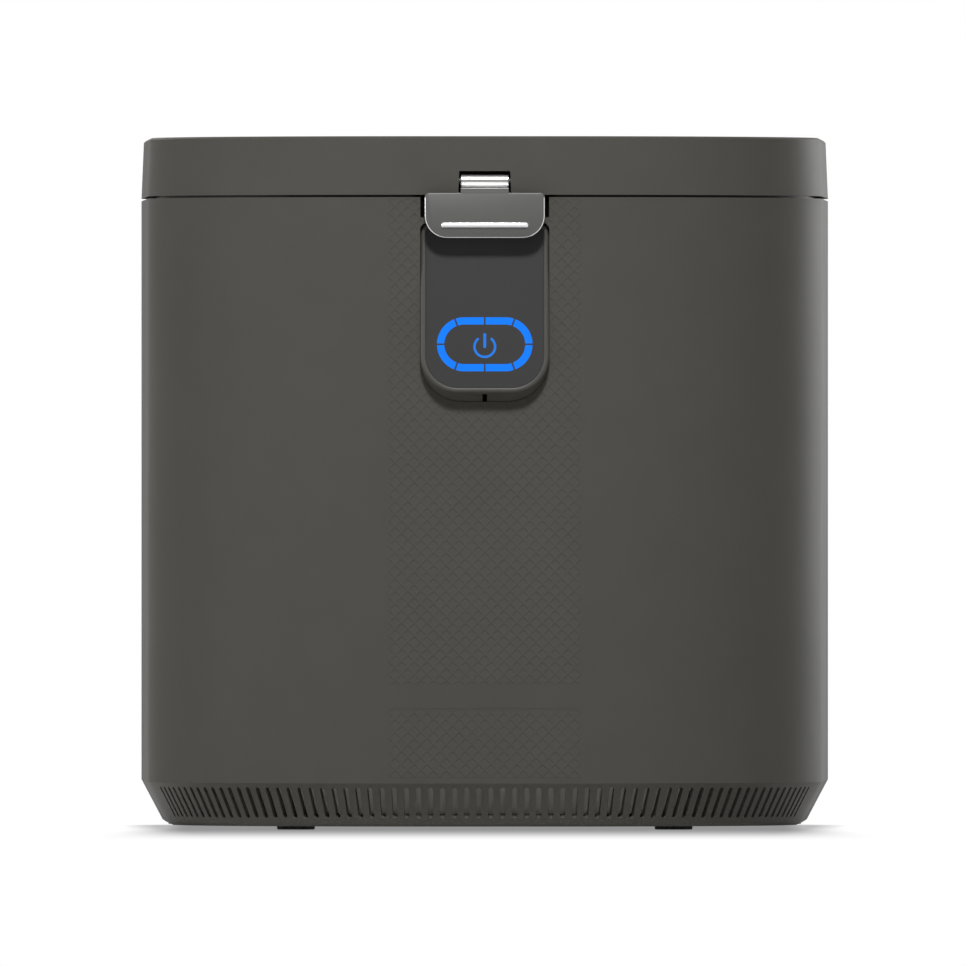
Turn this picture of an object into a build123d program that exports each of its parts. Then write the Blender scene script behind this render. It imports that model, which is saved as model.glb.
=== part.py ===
from build123d import *
import math
import os

# Electric food waste composter: a curved case with a hinged, latched lid and a tilted touch console, and
# inside it a heated bucket with a motor-driven agitator, a carbon filter and a fan.
# Millimetres, +Z up, front towards -Y, origin at the middle of the footprint on the floor.

# ---------------------------------------------------------------- driving dimensions
# Case plan
body_width = 290.0
body_depth = 310.0
front_flat = 57.4          # straight stretch in the middle of the front
side_flare = 1.3           # degrees that each side opens towards the rear
rear_corner_r = 30.0
wall = 2.6

# Case heights, from the floor up
foot_show = 1.5
skirt_height = 18.0
rim_drop = 17.6            # bucket's rim below the shell's top edge
seam_gap = 1.0
lid_height = 24.4

# Skirt, floor and feet
skirt_inset = 9.5
skirt_edge = 1.1           # bevel where the skirt meets the underside
floor_t = 2.5
slot_pitch = 5.0
slot_width = 2.1
slots_per_side = 34
slot_low = 3.5             # from the underside to the slots' lower ends
slot_high = 1.8            # from the slots' upper ends to the top of the skirt
foot_r = 7.9
foot_recess = 0.8
foot_stem_r = 2.5
foot_barb_r = 3.6
foot_barb_h = 1.8
front_foot_x = 78.8
front_foot_in = 48.0       # from the front face
rear_foot_x = 104.5
rear_foot_in = 36.0        # from the rear face

# Lid
lid_draft = 1.0
lid_edge = 0.8
lid_top_t = 2.8
liner_t = 2.7
liner_lift = 0.6           # underside of the liner above the lid's lower edge
liner_lip_inset = 6.2
liner_lip_t = 2.6
gasket_out = 1.5           # gasket's bore outside the well's
gasket_w = 2.5
lid_boss_r = 4.0
screen_r = 20.0
screen_rings = ((5.0, 6), (10.0, 12), (15.0, 18))  # radius, and number of holes
screen_hole_r = 1.6
port_w = 60.0              # air port over the filter
port_d = 26.0
duct_h = 13.0              # height of the channel over the liner
duct_margin = 14.0         # channel beyond the screen
duct_end = 4.0             # channel behind the air port
magnet_r = 4.0
magnet_x = 80.0
magnet_in = 36.0           # from the front face
lid_screw_x = 62.0         # front pair
lid_screw_front = 24.0     # from the front face
lid_screw_side = 17.0      # middle pair, from the side faces
lid_screw_behind = 29.0    # behind the bucket's axis
lid_screw_corner = 33.0    # rear pair, from the side faces
lid_screw_rear = 26.0      # from the rear face

# Hinge
hinge_out = 1.0            # axis behind the rear face
knuckle_r = 4.0
hinge_pin_r = 1.5
hinge_x = 70.0
lid_knuckle_len = 18.0
body_knuckle_len = 8.0
knuckle_gap = 0.5
knuckle_web = 11.0         # height of the gussets that carry the knuckles

# Latch
flap_width = 50.0
flap_height = 18.9
flap_t = 3.0
flap_stand = 3.0           # gap between the case and the back of the flap
flap_overlap = 0.8         # how far the flap rises above the lid's lower edge
flap_corner_r = 9.3
flap_top_r = 1.2
flap_bevel = 0.5
rib_length = 36.6
rib_height = 2.5
rib_stand = 1.0
rib_up = 5.4               # middle of the rib above the flap's lower edge
rib_edge_r = 0.6
barrel_r = 2.65
barrel_len = 19.9
barrel_in = 3.0            # axis behind the front face
barrel_up = 5.8            # axis above the lid's lower edge
latch_pin_r = 1.25
latch_pin_len = 31.0
latch_pin_end = 1.5        # lid material beyond each end of the pin
notch_top_w = 21.3
notch_low_w = 22.1
notch_height = 9.9
notch_depth = 10.0
notch_back = 2.6           # lid material behind the notch
tab_t = 2.0
tab_back = 1.6             # tab behind the barrel
claw_width = 18.0
claw_t = 2.0
claw_down = 13.6           # top of the claw below the barrel's axis, less its own height
spring_wire_r = 0.35
spring_turns = 4
spring_bay_r = 3.2
spring_play = 0.4
pocket_width = 53.6
pocket_height = 8.4
pocket_depth = 9.0
catch_t = 1.6
catch_width = 24.0
catch_foot = 3.0           # how far the catch's plate reaches below its ledge

# Console
console_width = 53.6
console_tilt = 7.5         # degrees; sunk at the top, proud at the foot
console_drop = 29.6        # below the shell's top edge, where the panel crosses the case's face
console_up = 19.0          # panel above that line
console_down = 52.5        # panel below that line
console_corner_r = 15.7
console_top_r = 3.0
console_apron = 5.0        # how far the sloped foot of the bezel reaches below its rim
console_back = 3.4         # bezel's back behind the case's front face
console_flange = 1.8
console_flange_t = 2.4
rim = 2.25
lens_t = 1.6
lens_sink = 0.3
ledge_t = 1.5              # ledge that the lens rests on
ledge_in = 2.0
board_t = 1.6
board_room = 1.0           # between the ledge and the board
board_in = 1.0             # board's pocket inside the lens's outline
board_play = 0.2
board_top = -5.2           # board's upper edge, from the crossing line
board_corner_r = 1.0
lamp_w = 2.4
lamp_d = 1.6
lamp_h = 1.0
lamp_sunk = 0.3
slot_mark_w = 1.9
slot_mark_h = 3.8
ring_length = 39.8
ring_height = 22.7
ring_band = 3.06
ring_gap = 0.7
ring_drop = 31.9           # middle of the light ring below the crossing line
ring_segments = 8
light_t = 0.5
power_r = 4.8
power_stroke = 1.0
power_open = 36.5          # degrees left open each side of the top
power_bar_w = 1.2
power_bar_low = -0.6
power_bar_high = 5.7
power_drop = 1.0           # arc's middle below the ring's middle

# Texture field on the front
field_half = 40.0
field_recess = 0.3
field_low = 2.5            # above the skirt
field_high = 0.8           # below the shell's top edge
band_low = 31.2            # smooth band, above the skirt
band_high = 41.3

# Top deck and bucket well
deck_t = 3.0
deck_drop = 1.6            # deck's top below the shell's top edge
ledge_w = 4.0
ledge_h = 3.0
well_front = 19.0          # from the front face to the well's bore
well_gap = 9.0             # between the bucket's wall and the well's bore
well_wall = 1.2
well_flange_w = 3.0
well_floor_t = 2.0
seal_stand = 2.0           # shaft seal above the well's floor

# Bucket and bail
pot_r = 93.0
pot_wall = 2.5
pot_height = 150.0
pot_floor_t = 2.5
pot_edge_r = 7.0
rim_w = 4.0
rim_h = 2.5
ear_w = 14.0
ear_t = 2.5
ear_tip_r = 6.0
bail_lift = 5.5            # pivot above the rim
bail_in = 1.5              # bail's middle line inside the bucket's outer wall
bail_wire_r = 2.2
bail_pin_r = 2.0
bail_end = 0.6             # pins' ends beyond the ears
grip_r = 4.4
grip_half = 24.0           # degrees
boss_r = 17.0
boss_h = 2.5
bush_r = 14.0
cutter_count = 3
cutter_len = 34.0
cutter_w = 8.0
cutter_h = 6.0
cutter_up = 22.0           # above the bucket's base

# Agitator
shank_r = 11.0
shank_below = 1.5          # below the bucket's base
hub_r = 17.0
hub_h = 35.0
seal_h = 2.0
arm_w = 13.0
arm_t = 7.0
sweep_gap = 4.5            # between the arms' ends and the bucket's wall
sweep_up = 8.0             # underside above the bucket's base
sweep_phase = 35.0         # degrees from +X
scraper_h = 11.0
scraper_t = 6.0
cut_gap = 10.5
cut_arm_up = 30.0
cut_phase = 125.0
arm_ring_w = 5.0
saw_count = 4
saw_start = 16.0           # from the hub
saw_pitch = 12.0
saw_w = 5.0
saw_h = 2.0

# Heater
plate_in = 9.0             # plate's edge inside the bucket's outer wall
heater_plate_t = 6.7
heater_hole_r = 24.0
element_r = 62.0
element_wire_r = 3.0
plate_gap = 0.3            # between the heater plate and the bucket
cutout_r = 8.0             # thermal cut-out under the well's floor
cutout_h = 6.0
cutout_x = -51.0
cutout_front = 34.0        # in front of the bucket's axis

# Drive
floor_to_gearbox = 52.0    # from the tray's floor to the gearbox
gearbox_floor_t = 2.5
gearbox_wall = 2.5
gear_low = 5.0             # from the gearbox's underside to the output gear
output_gear_t = 8.0
gear_layer_gap = 3.0
input_gear_t = 5.0
gear_top_gap = 3.0
gearbox_cover_t = 3.0
cover_to_well = 4.0
pressure_angle = 25.0
backlash = 0.3
output_module = 1.5
output_teeth = 48
output_pinion_teeth = 12
input_module = 1.0
input_teeth = 50
motor_teeth = 12
gear_tip = 0.95            # tooth height above the pitch line, in modules
gear_root = 1.25
gear_room = 3.0            # round the gears inside their case
pinion_over = 0.5          # motor pinion beyond each face of its wheel
shaft_r = 5.0
axle_r = 2.5
motor_shaft_r = 3.0
bush_wall = 4.0
bush_stand = 1.5           # bush above the gear case's floor
pedestal_wall = 3.0
axle_seat = 1.0            # material left beyond each end of the axle
pad_w = 4.0                # ring between the gear case and the well
dog_flats = 13.0
dog_h = 8.0
dog_play = 0.2
dog_room = 2.0             # socket above the dog
lug_r = 7.0
lug_x = 52.0
lug_front = 22.0           # lugs in front of the bucket's axis
lug_rear = 74.0            # lugs behind it
post_r = 5.0
motor_r = 26.0
motor_h = 44.0
motor_wall = 2.5
motor_seat = 1.0           # can's material under the shaft
rotor_r = 20.0
rotor_end = 1.0            # shaft above its pinion
cradle_r = 13.0
cradle_wall = 3.0

# Rear bay: filter, fan, boards, inlet
bay_gap = 5.0              # between the well's bore and the filter box
bay_rear = 10.0            # from the filter box to the rear face
filter_w = 124.0
filter_h = 107.0
box_wall = 2.0
cartridge_gap = 0.6
cartridge_drop = 5.0       # cartridge's top below the box's rim
cartridge_wall = 1.6
cartridge_side = 8.0       # from the cartridge's sides to its slots
cartridge_edge = 6.0
upper_slots = 4
lower_slots = 7
pull_w = 28.0
pull_t = 3.0
pull_room = 5.0            # from the pull tab's middle to the slots
fan_size = 80.0
fan_t = 25.0
fan_to_filter = 12.0       # from the fan's frame up to the filter box
fan_bore_r = 38.0
fan_hub_r = 17.0
fan_blades = 7
fan_play = 1.0             # along the axis, between the hub and the stator
fan_front = 2.0            # hub behind the frame's front
blade_gap = 1.5
blade_pitch = 35.0
blade_t = 1.4
blade_chord = 15.0
stator_r = 14.0
stator_t = 7.0
spoke_w = 4.0
spoke_t = 3.0
fan_shaft_r = 1.5
duct_w = 84.0
duct_in = 6.0              # duct's front behind the filter box's front
vent_side = 6.0            # from the duct's sides to the filter box's vents
vent_front = 10.0
vent_back = 4.0
vent_count = 5
panel_width = 190.0
panel_low = 14.0           # above the skirt
panel_high = 28.0          # below the shell's top edge
panel_lip = 5.0
grille_slots = 11
grille_slot_w = 72.0
grille_slot_h = 3.0
grille_pitch = 6.4
inlet_x = -68.0
inlet_up = 58.0
inlet_w = 27.0
inlet_h = 20.0
inlet_depth = 18.0
inlet_shell = 1.6
inlet_flange = 2.5
inlet_flange_t = 2.0
pin_w = 4.0
pin_t = 2.0
pin_len = 11.0
pin_spread = 7.0
pin_rise = 2.0
board_x = 92.0
board_front = 4.0          # board's front edge behind the filter box's
board_rear = 8.0
board_h = 105.0
board_up = 30.0
bracket_t = 2.4
standoff = 4.0
standoff_r = 2.5
standoff_in = 5.0
component_boxes = (         # height, then front, rear, lower and upper edges as shares of the board
    (16.0, 0.10, 0.43, 0.08, 0.27), (16.0, 0.53, 0.87, 0.08, 0.27), (18.0, 0.20, 0.63, 0.34, 0.57),
    (12.0, 0.10, 0.17, 0.63, 0.88), (8.0, 0.30, 0.83, 0.74, 0.82), (8.0, 0.30, 0.67, 0.88, 0.95))
capacitor_spots = ((0.83, 0.44), (0.83, 0.59))
capacitor_r = 5.5
capacitor_h = 14.0

# Fasteners and fits
screw_r = 1.5
screw_head_r = 2.8
screw_head_h = 1.8
gearbox_screw_len = 14.0
lid_screw_len = 10.0
column_r = 4.5             # screw columns inside the shell
column_h = 30.0
column_below = 6.0         # how far a column reaches below what it joins
web_t = 2.6
column_in = 12.0           # screw columns' axes inside the side walls
column_behind = 30.0       # behind the bucket's axis
column_rear = 42.0         # from the rear face
deck_screw_out = 16.0      # beyond the well's bore
deck_screw_rear = 48.0     # from the rear face
deck_screw_x = 40.0        # middle pair
deck_screw_edge = 5.2
slip = 0.3                 # between separate mouldings
running = 0.05             # radial, round a turning shaft
over = 1.0                 # how far a cutting tool runs past what it cuts
bite = 0.5                 # how far joined solids run into each other
near = 0.01                # when two places count as the same

# ---------------------------------------------------------------- heights and places that follow
skirt_z = foot_show + skirt_height
floor_z = foot_show + floor_t
gearbox_z = floor_z + floor_to_gearbox
output_gear_z = gearbox_z + gear_low
input_gear_z = output_gear_z + output_gear_t + gear_layer_gap
cover_z = input_gear_z + input_gear_t + gear_top_gap
well_floor_z = cover_z + gearbox_cover_t + cover_to_well
plate_z = well_floor_z + well_floor_t
pot_z = plate_z + heater_plate_t + plate_gap
rim_z = pot_z + pot_height
bail_z = rim_z + bail_lift
seam_z = rim_z + rim_drop
lid_z = seam_z + seam_gap
top_z = lid_z + lid_height
deck_z = seam_z - deck_drop
deck_low_z = deck_z - deck_t
filter_z = deck_low_z - filter_h
fan_z = filter_z - fan_to_filter - fan_size / 2
hinge_z = seam_z + seam_gap / 2

front_reach = flap_stand + flap_t + rib_stand
rear_reach = hinge_out + knuckle_r
front_y = front_reach - (front_reach + body_depth + rear_reach) / 2
rear_y = front_y + body_depth
hinge_y = rear_y + hinge_out
well_r = pot_r + well_gap
pot_in_r = pot_r - pot_wall
bail_r = pot_r - bail_in
well_y = front_y + well_front + well_r
filter_d = body_depth - well_front - 2 * well_r - bay_gap - bay_rear
bay_back_y = rear_y - bay_rear
bay_y = bay_back_y - filter_d
fan_y = rear_y - wall - fan_t
board_y = bay_y + board_front
board_d = filter_d - board_front - board_rear

output_distance = output_module * (output_teeth + output_pinion_teeth) / 2
input_distance = input_module * (input_teeth + motor_teeth) / 2
compound_y = well_y + output_distance
motor_x = input_distance

parts = {}


# ---------------------------------------------------------------- helpers
def keep(name, shape):
    """Hold a finished piece under its node name."""
    parts[name] = shape


def block(x0, x1, y0, y1, z0, z1):
    """Box between two corners."""
    return Pos((x0 + x1) / 2, (y0 + y1) / 2, (z0 + z1) / 2) * Box(x1 - x0, y1 - y0, z1 - z0)


def post(x, y, z0, z1, radius):
    """Upright cylinder."""
    return Pos(x, y, (z0 + z1) / 2) * Cylinder(radius, z1 - z0)


def tube(x, y, z0, z1, outer, inner):
    """Upright cylinder with a bore."""
    return post(x, y, z0, z1, outer) - post(x, y, z0 - over, z1 + over, inner)


def bar_x(x0, x1, y, z, radius):
    """Cylinder lying along X."""
    return Pos((x0 + x1) / 2, y, z) * Rot(0, 90, 0) * Cylinder(radius, x1 - x0)


def bar_y(x, y0, y1, z, radius):
    """Cylinder lying along Y."""
    return Pos(x, (y0 + y1) / 2, z) * Rot(90, 0, 0) * Cylinder(radius, y1 - y0)


def side_section(points, x0, x1):
    """Outline given in (y, z), made solid from x0 to x1."""
    face = make_face(Polyline([(x0, y, z) for y, z in points], close=True))
    return extrude(face, amount=x1 - x0, dir=(1, 0, 0))


def joined(first, *others):
    """Fuse solids into one."""
    return first.fuse(*others).clean()


def without(shape, *tools):
    """Cut several tools from a shape in one go."""
    return shape.cut(*tools)


def plan_face(inset, z):
    """Plan of the case: flat front, one large arc each side, flared sides, round rear corners, flat back."""
    flare = math.radians(side_flare)
    half_flat = front_flat / 2
    corner_x = body_width / 2 - rear_corner_r
    corner_y = rear_y - rear_corner_r
    reach = (corner_x - half_flat) * math.cos(flare) - (body_depth - rear_corner_r) * math.sin(flare)
    front_r = (reach + rear_corner_r) / (1 - math.sin(flare))
    arc_y = front_y + front_r

    def around(cx, cy, radius, degrees):
        turn = math.radians(degrees)
        return (cx + radius * math.cos(turn), cy + radius * math.sin(turn), z)

    def flip(point):
        return (-point[0], point[1], point[2])

    big_r, small_r = front_r - inset, rear_corner_r - inset
    p1 = around(half_flat, arc_y, big_r, -90)
    m1 = around(half_flat, arc_y, big_r, (-90 - side_flare) / 2)
    p2 = around(half_flat, arc_y, big_r, -side_flare)
    p3 = around(corner_x, corner_y, small_r, -side_flare)
    m3 = around(corner_x, corner_y, small_r, (90 - side_flare) / 2)
    p4 = around(corner_x, corner_y, small_r, 90)
    edges = [
        Line(flip(p1), p1),
        ThreePointArc(p1, m1, p2),
        Line(p2, p3),
        ThreePointArc(p3, m3, p4),
        Line(p4, flip(p4)),
        ThreePointArc(flip(p4), flip(m3), flip(p3)),
        Line(flip(p3), flip(p2)),
        ThreePointArc(flip(p2), flip(m1), flip(p1)),
    ]
    return make_face(edges)


def front_arc():
    """Radius of the large front arcs, and the Y of their centres."""
    flare = math.radians(side_flare)
    corner_x = body_width / 2 - rear_corner_r
    reach = (corner_x - front_flat / 2) * math.cos(flare) - (body_depth - rear_corner_r) * math.sin(flare)
    radius = (reach + rear_corner_r) / (1 - math.sin(flare))
    return radius, front_y + radius


def prism(inset, z0, z1):
    """Upright solid with the case's plan."""
    return extrude(plan_face(inset, z0), amount=z1 - z0)


def tapered(*stations):
    """Solid through plans given as (inset, z)."""
    return loft([plan_face(inset, z) for inset, z in stations], ruled=True)


def shell_ring(inset, thick, z0, z1):
    """Upright band that follows the case."""
    return prism(inset, z0, z1) - prism(inset + thick, z0 - over, z1 + over)


def panel_face(plane, half_w, low, high, r_low, r_high):
    """Rectangle with two corner radii, drawn in a plane's own x and y."""
    k = 1 - math.sqrt(0.5)
    right = [(half_w - r_low, low), (half_w - k * r_low, low + k * r_low), (half_w, low + r_low),
             (half_w, high - r_high), (half_w - k * r_high, high - k * r_high), (half_w - r_high, high)]
    left = [(-x, y) for x, y in reversed(right)]
    outline = [Line(left[-1], right[0])]
    for side, end in ((right, left[0]), (left, None)):
        outline += [ThreePointArc(*side[:3]), Line(side[2], side[3]), ThreePointArc(*side[3:])]
        if end:
            outline.append(Line(side[-1], end))
    return plane * make_face(outline)


def upright_plane(y):
    """Vertical plane facing the front, with x across and y up."""
    return Plane(origin=(0, y, 0), x_dir=(1, 0, 0), z_dir=(0, -1, 0))


def screw(x, y, z, direction, length):
    """Pan-head screw whose head's underside is at the given point and whose shank runs along direction."""
    plane = Plane(origin=(x, y, z), z_dir=direction)
    shank = Pos(0, 0, length / 2) * Cylinder(screw_r, length)
    head = Pos(0, 0, -screw_head_h / 2) * Cylinder(screw_head_r, screw_head_h)
    return plane * (shank + head)


def gear(teeth, module, thickness, z, x, y, phase):
    """Spur gear with involute flanks; phase turns it so that a tooth points that way."""
    pitch_r = module * teeth / 2
    slope = math.radians(pressure_angle)
    base_r = pitch_r * math.cos(slope)
    tip_r = pitch_r + gear_tip * module
    root_r = pitch_r - gear_root * module
    start_r = max(base_r, root_r)

    def half_angle(radius):
        lean = math.acos(min(1.0, base_r / radius))
        drift = math.tan(slope) - slope - (math.tan(lean) - lean)
        return math.pi / (2 * teeth) - backlash / (4 * pitch_r) + drift

    radii = [start_r, (start_r + tip_r) / 2, tip_r]
    flank = [(radius, half_angle(radius)) for radius in radii]
    if root_r < base_r:
        flank.insert(0, (root_r, half_angle(start_r)))
    points = []
    for tooth in range(teeth):
        middle = math.radians(phase) + 2 * math.pi * tooth / teeth
        one_side = [(radius, middle - turn) for radius, turn in flank]
        other_side = [(radius, middle + turn) for radius, turn in reversed(flank)]
        for radius, turn in one_side + other_side:
            points.append((x + radius * math.cos(turn), y + radius * math.sin(turn), z))
    return extrude(make_face(Polyline(points, close=True)), amount=thickness)


# ---------------------------------------------------------------- shared cutters and screws
def seam_knuckles(side):
    """Spans along X of the lid's knuckle and of the two case knuckles at one hinge."""
    middle = side * hinge_x
    half = lid_knuckle_len / 2
    lid_span = (middle - half, middle + half)
    left = (lid_span[0] - knuckle_gap - body_knuckle_len, lid_span[0] - knuckle_gap)
    right = (lid_span[1] + knuckle_gap, lid_span[1] + knuckle_gap + body_knuckle_len)
    return lid_span, left, right


def knuckle_clearance(spans):
    """Round relief about the hinge axis for the other half's knuckles."""
    radius = knuckle_r + knuckle_gap
    return [bar_x(a - knuckle_gap / 2, b + knuckle_gap / 2, hinge_y, hinge_z, radius) for a, b in spans]


lid_spans = [seam_knuckles(side)[0] for side in (-1, 1)]
case_spans = [span for side in (-1, 1) for span in seam_knuckles(side)[1:]]
hinge_pin_spans = [(seam_knuckles(side)[1][0], seam_knuckles(side)[2][1]) for side in (-1, 1)]

tilt = math.radians(console_tilt)
console_z = seam_z - console_drop
console_plane = Plane(origin=(0, front_y, console_z), x_dir=(1, 0, 0),
                      z_dir=(0, -math.cos(tilt), math.sin(tilt)))
console_top_z = console_z + console_up * math.cos(tilt)
console_rim_z = console_z - console_down * math.cos(tilt)
console_foot_z = console_rim_z - console_apron


def console_form(grow):
    """Bezel's outer form: tilted front outline down to a larger upright one behind the case's face."""
    half = console_width / 2 + grow
    front = panel_face(console_plane, half, -console_down - grow, console_up + grow,
                       console_corner_r + grow, console_top_r + grow)
    back = panel_face(upright_plane(front_y + console_back), half, console_foot_z - grow,
                      console_top_z + grow, console_corner_r + console_apron / 2 + grow, console_top_r + grow)
    return loft([front, back], ruled=True), front


def tilted_block(half_w, low, high, r_low, r_high, depth0, depth1):
    """Rounded block under the console's face, between two depths measured square to it."""
    face = panel_face(console_plane.offset(-depth1), half_w, low, high, r_low, r_high)
    return extrude(face, amount=depth1 - depth0)


post_places = [(side * lug_x, well_y + dy) for side in (-1, 1) for dy in (-lug_front, lug_rear)]
column_places = [(side * (body_width / 2 - wall - column_in), y)
                 for side in (-1, 1) for y in (well_y + column_behind, rear_y - column_rear)]
deck_screw_side = well_r + deck_screw_out
deck_screw_places = [(side * x, y) for side in (-1, 1)
                     for x, y in ((deck_screw_side, well_y), (deck_screw_side, rear_y - deck_screw_rear),
                                  (deck_screw_x, rear_y - deck_screw_edge))]
panel_mid_z = (skirt_z + panel_low + seam_z - panel_high) / 2
panel_screw_places = [(side * (panel_width / 2 - panel_lip), z) for side in (-1, 1) for z in
                      (skirt_z + panel_low + panel_lip, panel_mid_z, seam_z - panel_high - panel_lip)]
case_screws = []
for x, y in column_places:
    case_screws.append(screw(x, y, floor_z - floor_t + screw_head_h, (0, 0, 1), column_h))
for x, y in post_places:
    case_screws.append(screw(x, y, gearbox_z + gearbox_floor_t, (0, 0, -1), gearbox_screw_len))
for x, y in deck_screw_places:
    case_screws.append(screw(x, y, deck_z - screw_head_h, (0, 0, -1), ledge_h + deck_t - screw_head_h))
for x, z in panel_screw_places:
    case_screws.append(screw(x, rear_y - screw_head_h, z, (0, -1, 0), wall - screw_head_h + panel_lip))
column_screws = case_screws[:4]
gearbox_screws = case_screws[4:8]
deck_screws = case_screws[8:14]
panel_screws = case_screws[14:]


# ---------------------------------------------------------------- feet, base tray and outer shell
def foot_places():
    front = [(side * front_foot_x, front_y + front_foot_in) for side in (-1, 1)]
    rear = [(side * rear_foot_x, rear_y - rear_foot_in) for side in (-1, 1)]
    return front + rear


def make_foot(x, y):
    """Rubber pad with a stem and a barb that holds it in the floor."""
    pad = post(x, y, 0, foot_show + foot_recess, foot_r)
    pad = chamfer(pad.edges().group_by(Axis.Z)[0], foot_show / 4)
    stem = post(x, y, foot_show + foot_recess, floor_z + foot_barb_h, foot_stem_r)
    barb = post(x, y, floor_z, floor_z + foot_barb_h, foot_barb_r)
    return joined(pad, stem, barb)


def skirt_slots():
    """Slots square to the sloping skirt, evenly spaced along its middle line."""
    slope = math.atan2(skirt_inset, skirt_height)
    low_z, high_z = foot_show + slot_low, skirt_z - slot_high
    middle_z = (low_z + high_z) / 2
    middle_inset = skirt_inset * (skirt_z - middle_z) / skirt_height
    radius, arc_y = front_arc()
    radius -= middle_inset
    length = (high_z - low_z) / math.cos(slope)
    tool_face = SlotOverall(length, slot_width, rotation=90)
    tools = []
    for number in range(slots_per_side):
        along = (number + 0.5) * slot_pitch
        turn = max(0.0, along - front_flat / 2) / radius
        x = min(along, front_flat / 2) + radius * math.sin(turn)
        y = arc_y - radius * math.cos(turn)
        for side in (-1, 1):
            outward = (side * math.sin(turn) * math.cos(slope), -math.cos(turn) * math.cos(slope),
                       -math.sin(slope))
            across = (math.cos(turn), side * math.sin(turn), 0)
            plane = Plane(origin=(side * x, y, middle_z), x_dir=across, z_dir=outward)
            tools.append(extrude(plane * tool_face, amount=2 * wall, both=True))
    return tools


def make_base_tray():
    """Sloped skirt with vent slots, floor, gearbox posts, motor cradle and the board's bracket."""
    edge_inset = skirt_inset * (1 - skirt_edge / skirt_height)
    outer = tapered((skirt_inset + skirt_edge, foot_show), (edge_inset, foot_show + skirt_edge), (0, skirt_z))
    inner = tapered((skirt_inset + wall, floor_z), (wall, skirt_z + near))
    tray = without(outer, inner, *skirt_slots())
    gain = [post(x, y, floor_z - over, gearbox_z, post_r) for x, y in post_places]
    cradle_z = gearbox_z - motor_h
    gain.append(tube(motor_x, compound_y, floor_z - over, cradle_z, cradle_r, cradle_r - cradle_wall))
    bracket_x = board_x + board_t + standoff
    gain.append(block(bracket_x, bracket_x + bracket_t, board_y, board_y + board_d, floor_z - over,
                      board_up + board_h))
    loss = []
    for x, y in foot_places():
        loss.append(post(x, y, foot_show - over, foot_show + foot_recess, foot_r))
        loss.append(post(x, y, foot_show - over, floor_z + over, foot_stem_r))
    return without(joined(tray, *gain), *loss, *column_screws, *gearbox_screws)


def case_knuckle(span):
    """Half of the hinge on the case: a barrel on a gusset that runs down the rear wall."""
    a, b = span
    gusset = side_section([(rear_y - wall / 2, seam_z - knuckle_web), (rear_y, seam_z - knuckle_web),
                           (hinge_y + knuckle_r, hinge_z), (rear_y - wall / 2, hinge_z - seam_gap / 2)], a, b)
    return joined(bar_x(a, b, hinge_y, hinge_z, knuckle_r), gusset)


def field_recess_tool(z0, z1):
    """Shallow cut that follows the front face, for the textured field."""
    skin = prism(-over, z0, z1) - prism(field_recess, z0 - over, z1 + over)
    return skin & block(-field_half, field_half, front_y - 2 * over, well_y - well_r / 2, z0, z1)


def make_outer_shell():
    """Upright walls with the deck's ledge, latch pocket, console opening, rear opening and hinge knuckles."""
    shell = shell_ring(0, wall, skirt_z, seam_z)
    gain = [shell_ring(wall - bite, ledge_w + bite, deck_low_z - ledge_h, deck_low_z)]
    pocket_back = front_y + pocket_depth + wall
    pocket_half = pocket_width / 2 + wall
    gain.append(block(-pocket_half, pocket_half, front_y + wall / 2, pocket_back, console_top_z + 2 * slip,
                      deck_z))
    for x, y in column_places:
        side = math.copysign(1, x)
        outside_x = side * body_width / 2
        gain.append(post(x, y, skirt_z - column_below, skirt_z + column_h, column_r))
        web = block(min(x, outside_x), max(x, outside_x), y - web_t / 2, y + web_t / 2, skirt_z,
                    skirt_z + column_h)
        gain.append(web & prism(wall / 2, skirt_z, skirt_z + column_h))
    boss_z = deck_low_z - ledge_h - column_below
    for x, y in deck_screw_places:
        gain.append(post(x, y, boss_z, deck_low_z, column_r) & prism(wall / 2, boss_z, deck_low_z))
        if abs(x) > panel_width / 2:
            side = math.copysign(1, x)
            outside_x = side * body_width / 2
            web = block(min(x, outside_x), max(x, outside_x), y - web_t / 2, y + web_t / 2, boss_z,
                        deck_low_z)
            gain.append(web & prism(wall / 2, boss_z, deck_low_z))
    lip = block(-panel_width / 2 - panel_lip, panel_width / 2 + panel_lip, rear_y - wall - panel_lip,
                rear_y - wall / 2, skirt_z + panel_low - panel_lip, seam_z - panel_high + panel_lip)
    gain.append(lip)
    gain += [case_knuckle(span) for span in case_spans]
    loss = []
    half = panel_width / 2 + slip
    low, high = skirt_z + panel_low - slip, seam_z - panel_high + slip
    loss.append(block(-half, half, rear_y - wall, rear_y + over, low, high))
    inner = panel_width / 2 - 2 * panel_lip
    loss.append(block(-inner, inner, rear_y - wall - 2 * panel_lip, rear_y,
                      skirt_z + panel_low + 2 * panel_lip, seam_z - panel_high - 2 * panel_lip))
    form, face = console_form(slip / 2)
    loss.append(form)
    loss.append(extrude(face, amount=3 * flap_stand, dir=(0, -1, 0)))
    loss.append(block(-pocket_width / 2, pocket_width / 2, front_y - over, front_y + pocket_depth,
                      seam_z - pocket_height, seam_z + over))
    band_z = skirt_z + band_low, skirt_z + band_high
    loss.append(field_recess_tool(skirt_z + field_low, band_z[0]))
    loss.append(field_recess_tool(band_z[1], seam_z - field_high))
    loss += knuckle_clearance(lid_spans)
    loss += [bar_x(a, b, hinge_y, hinge_z, hinge_pin_r) for a, b in hinge_pin_spans]
    return without(joined(shell, *gain), *loss, *column_screws, *deck_screws, *panel_screws)


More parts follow.
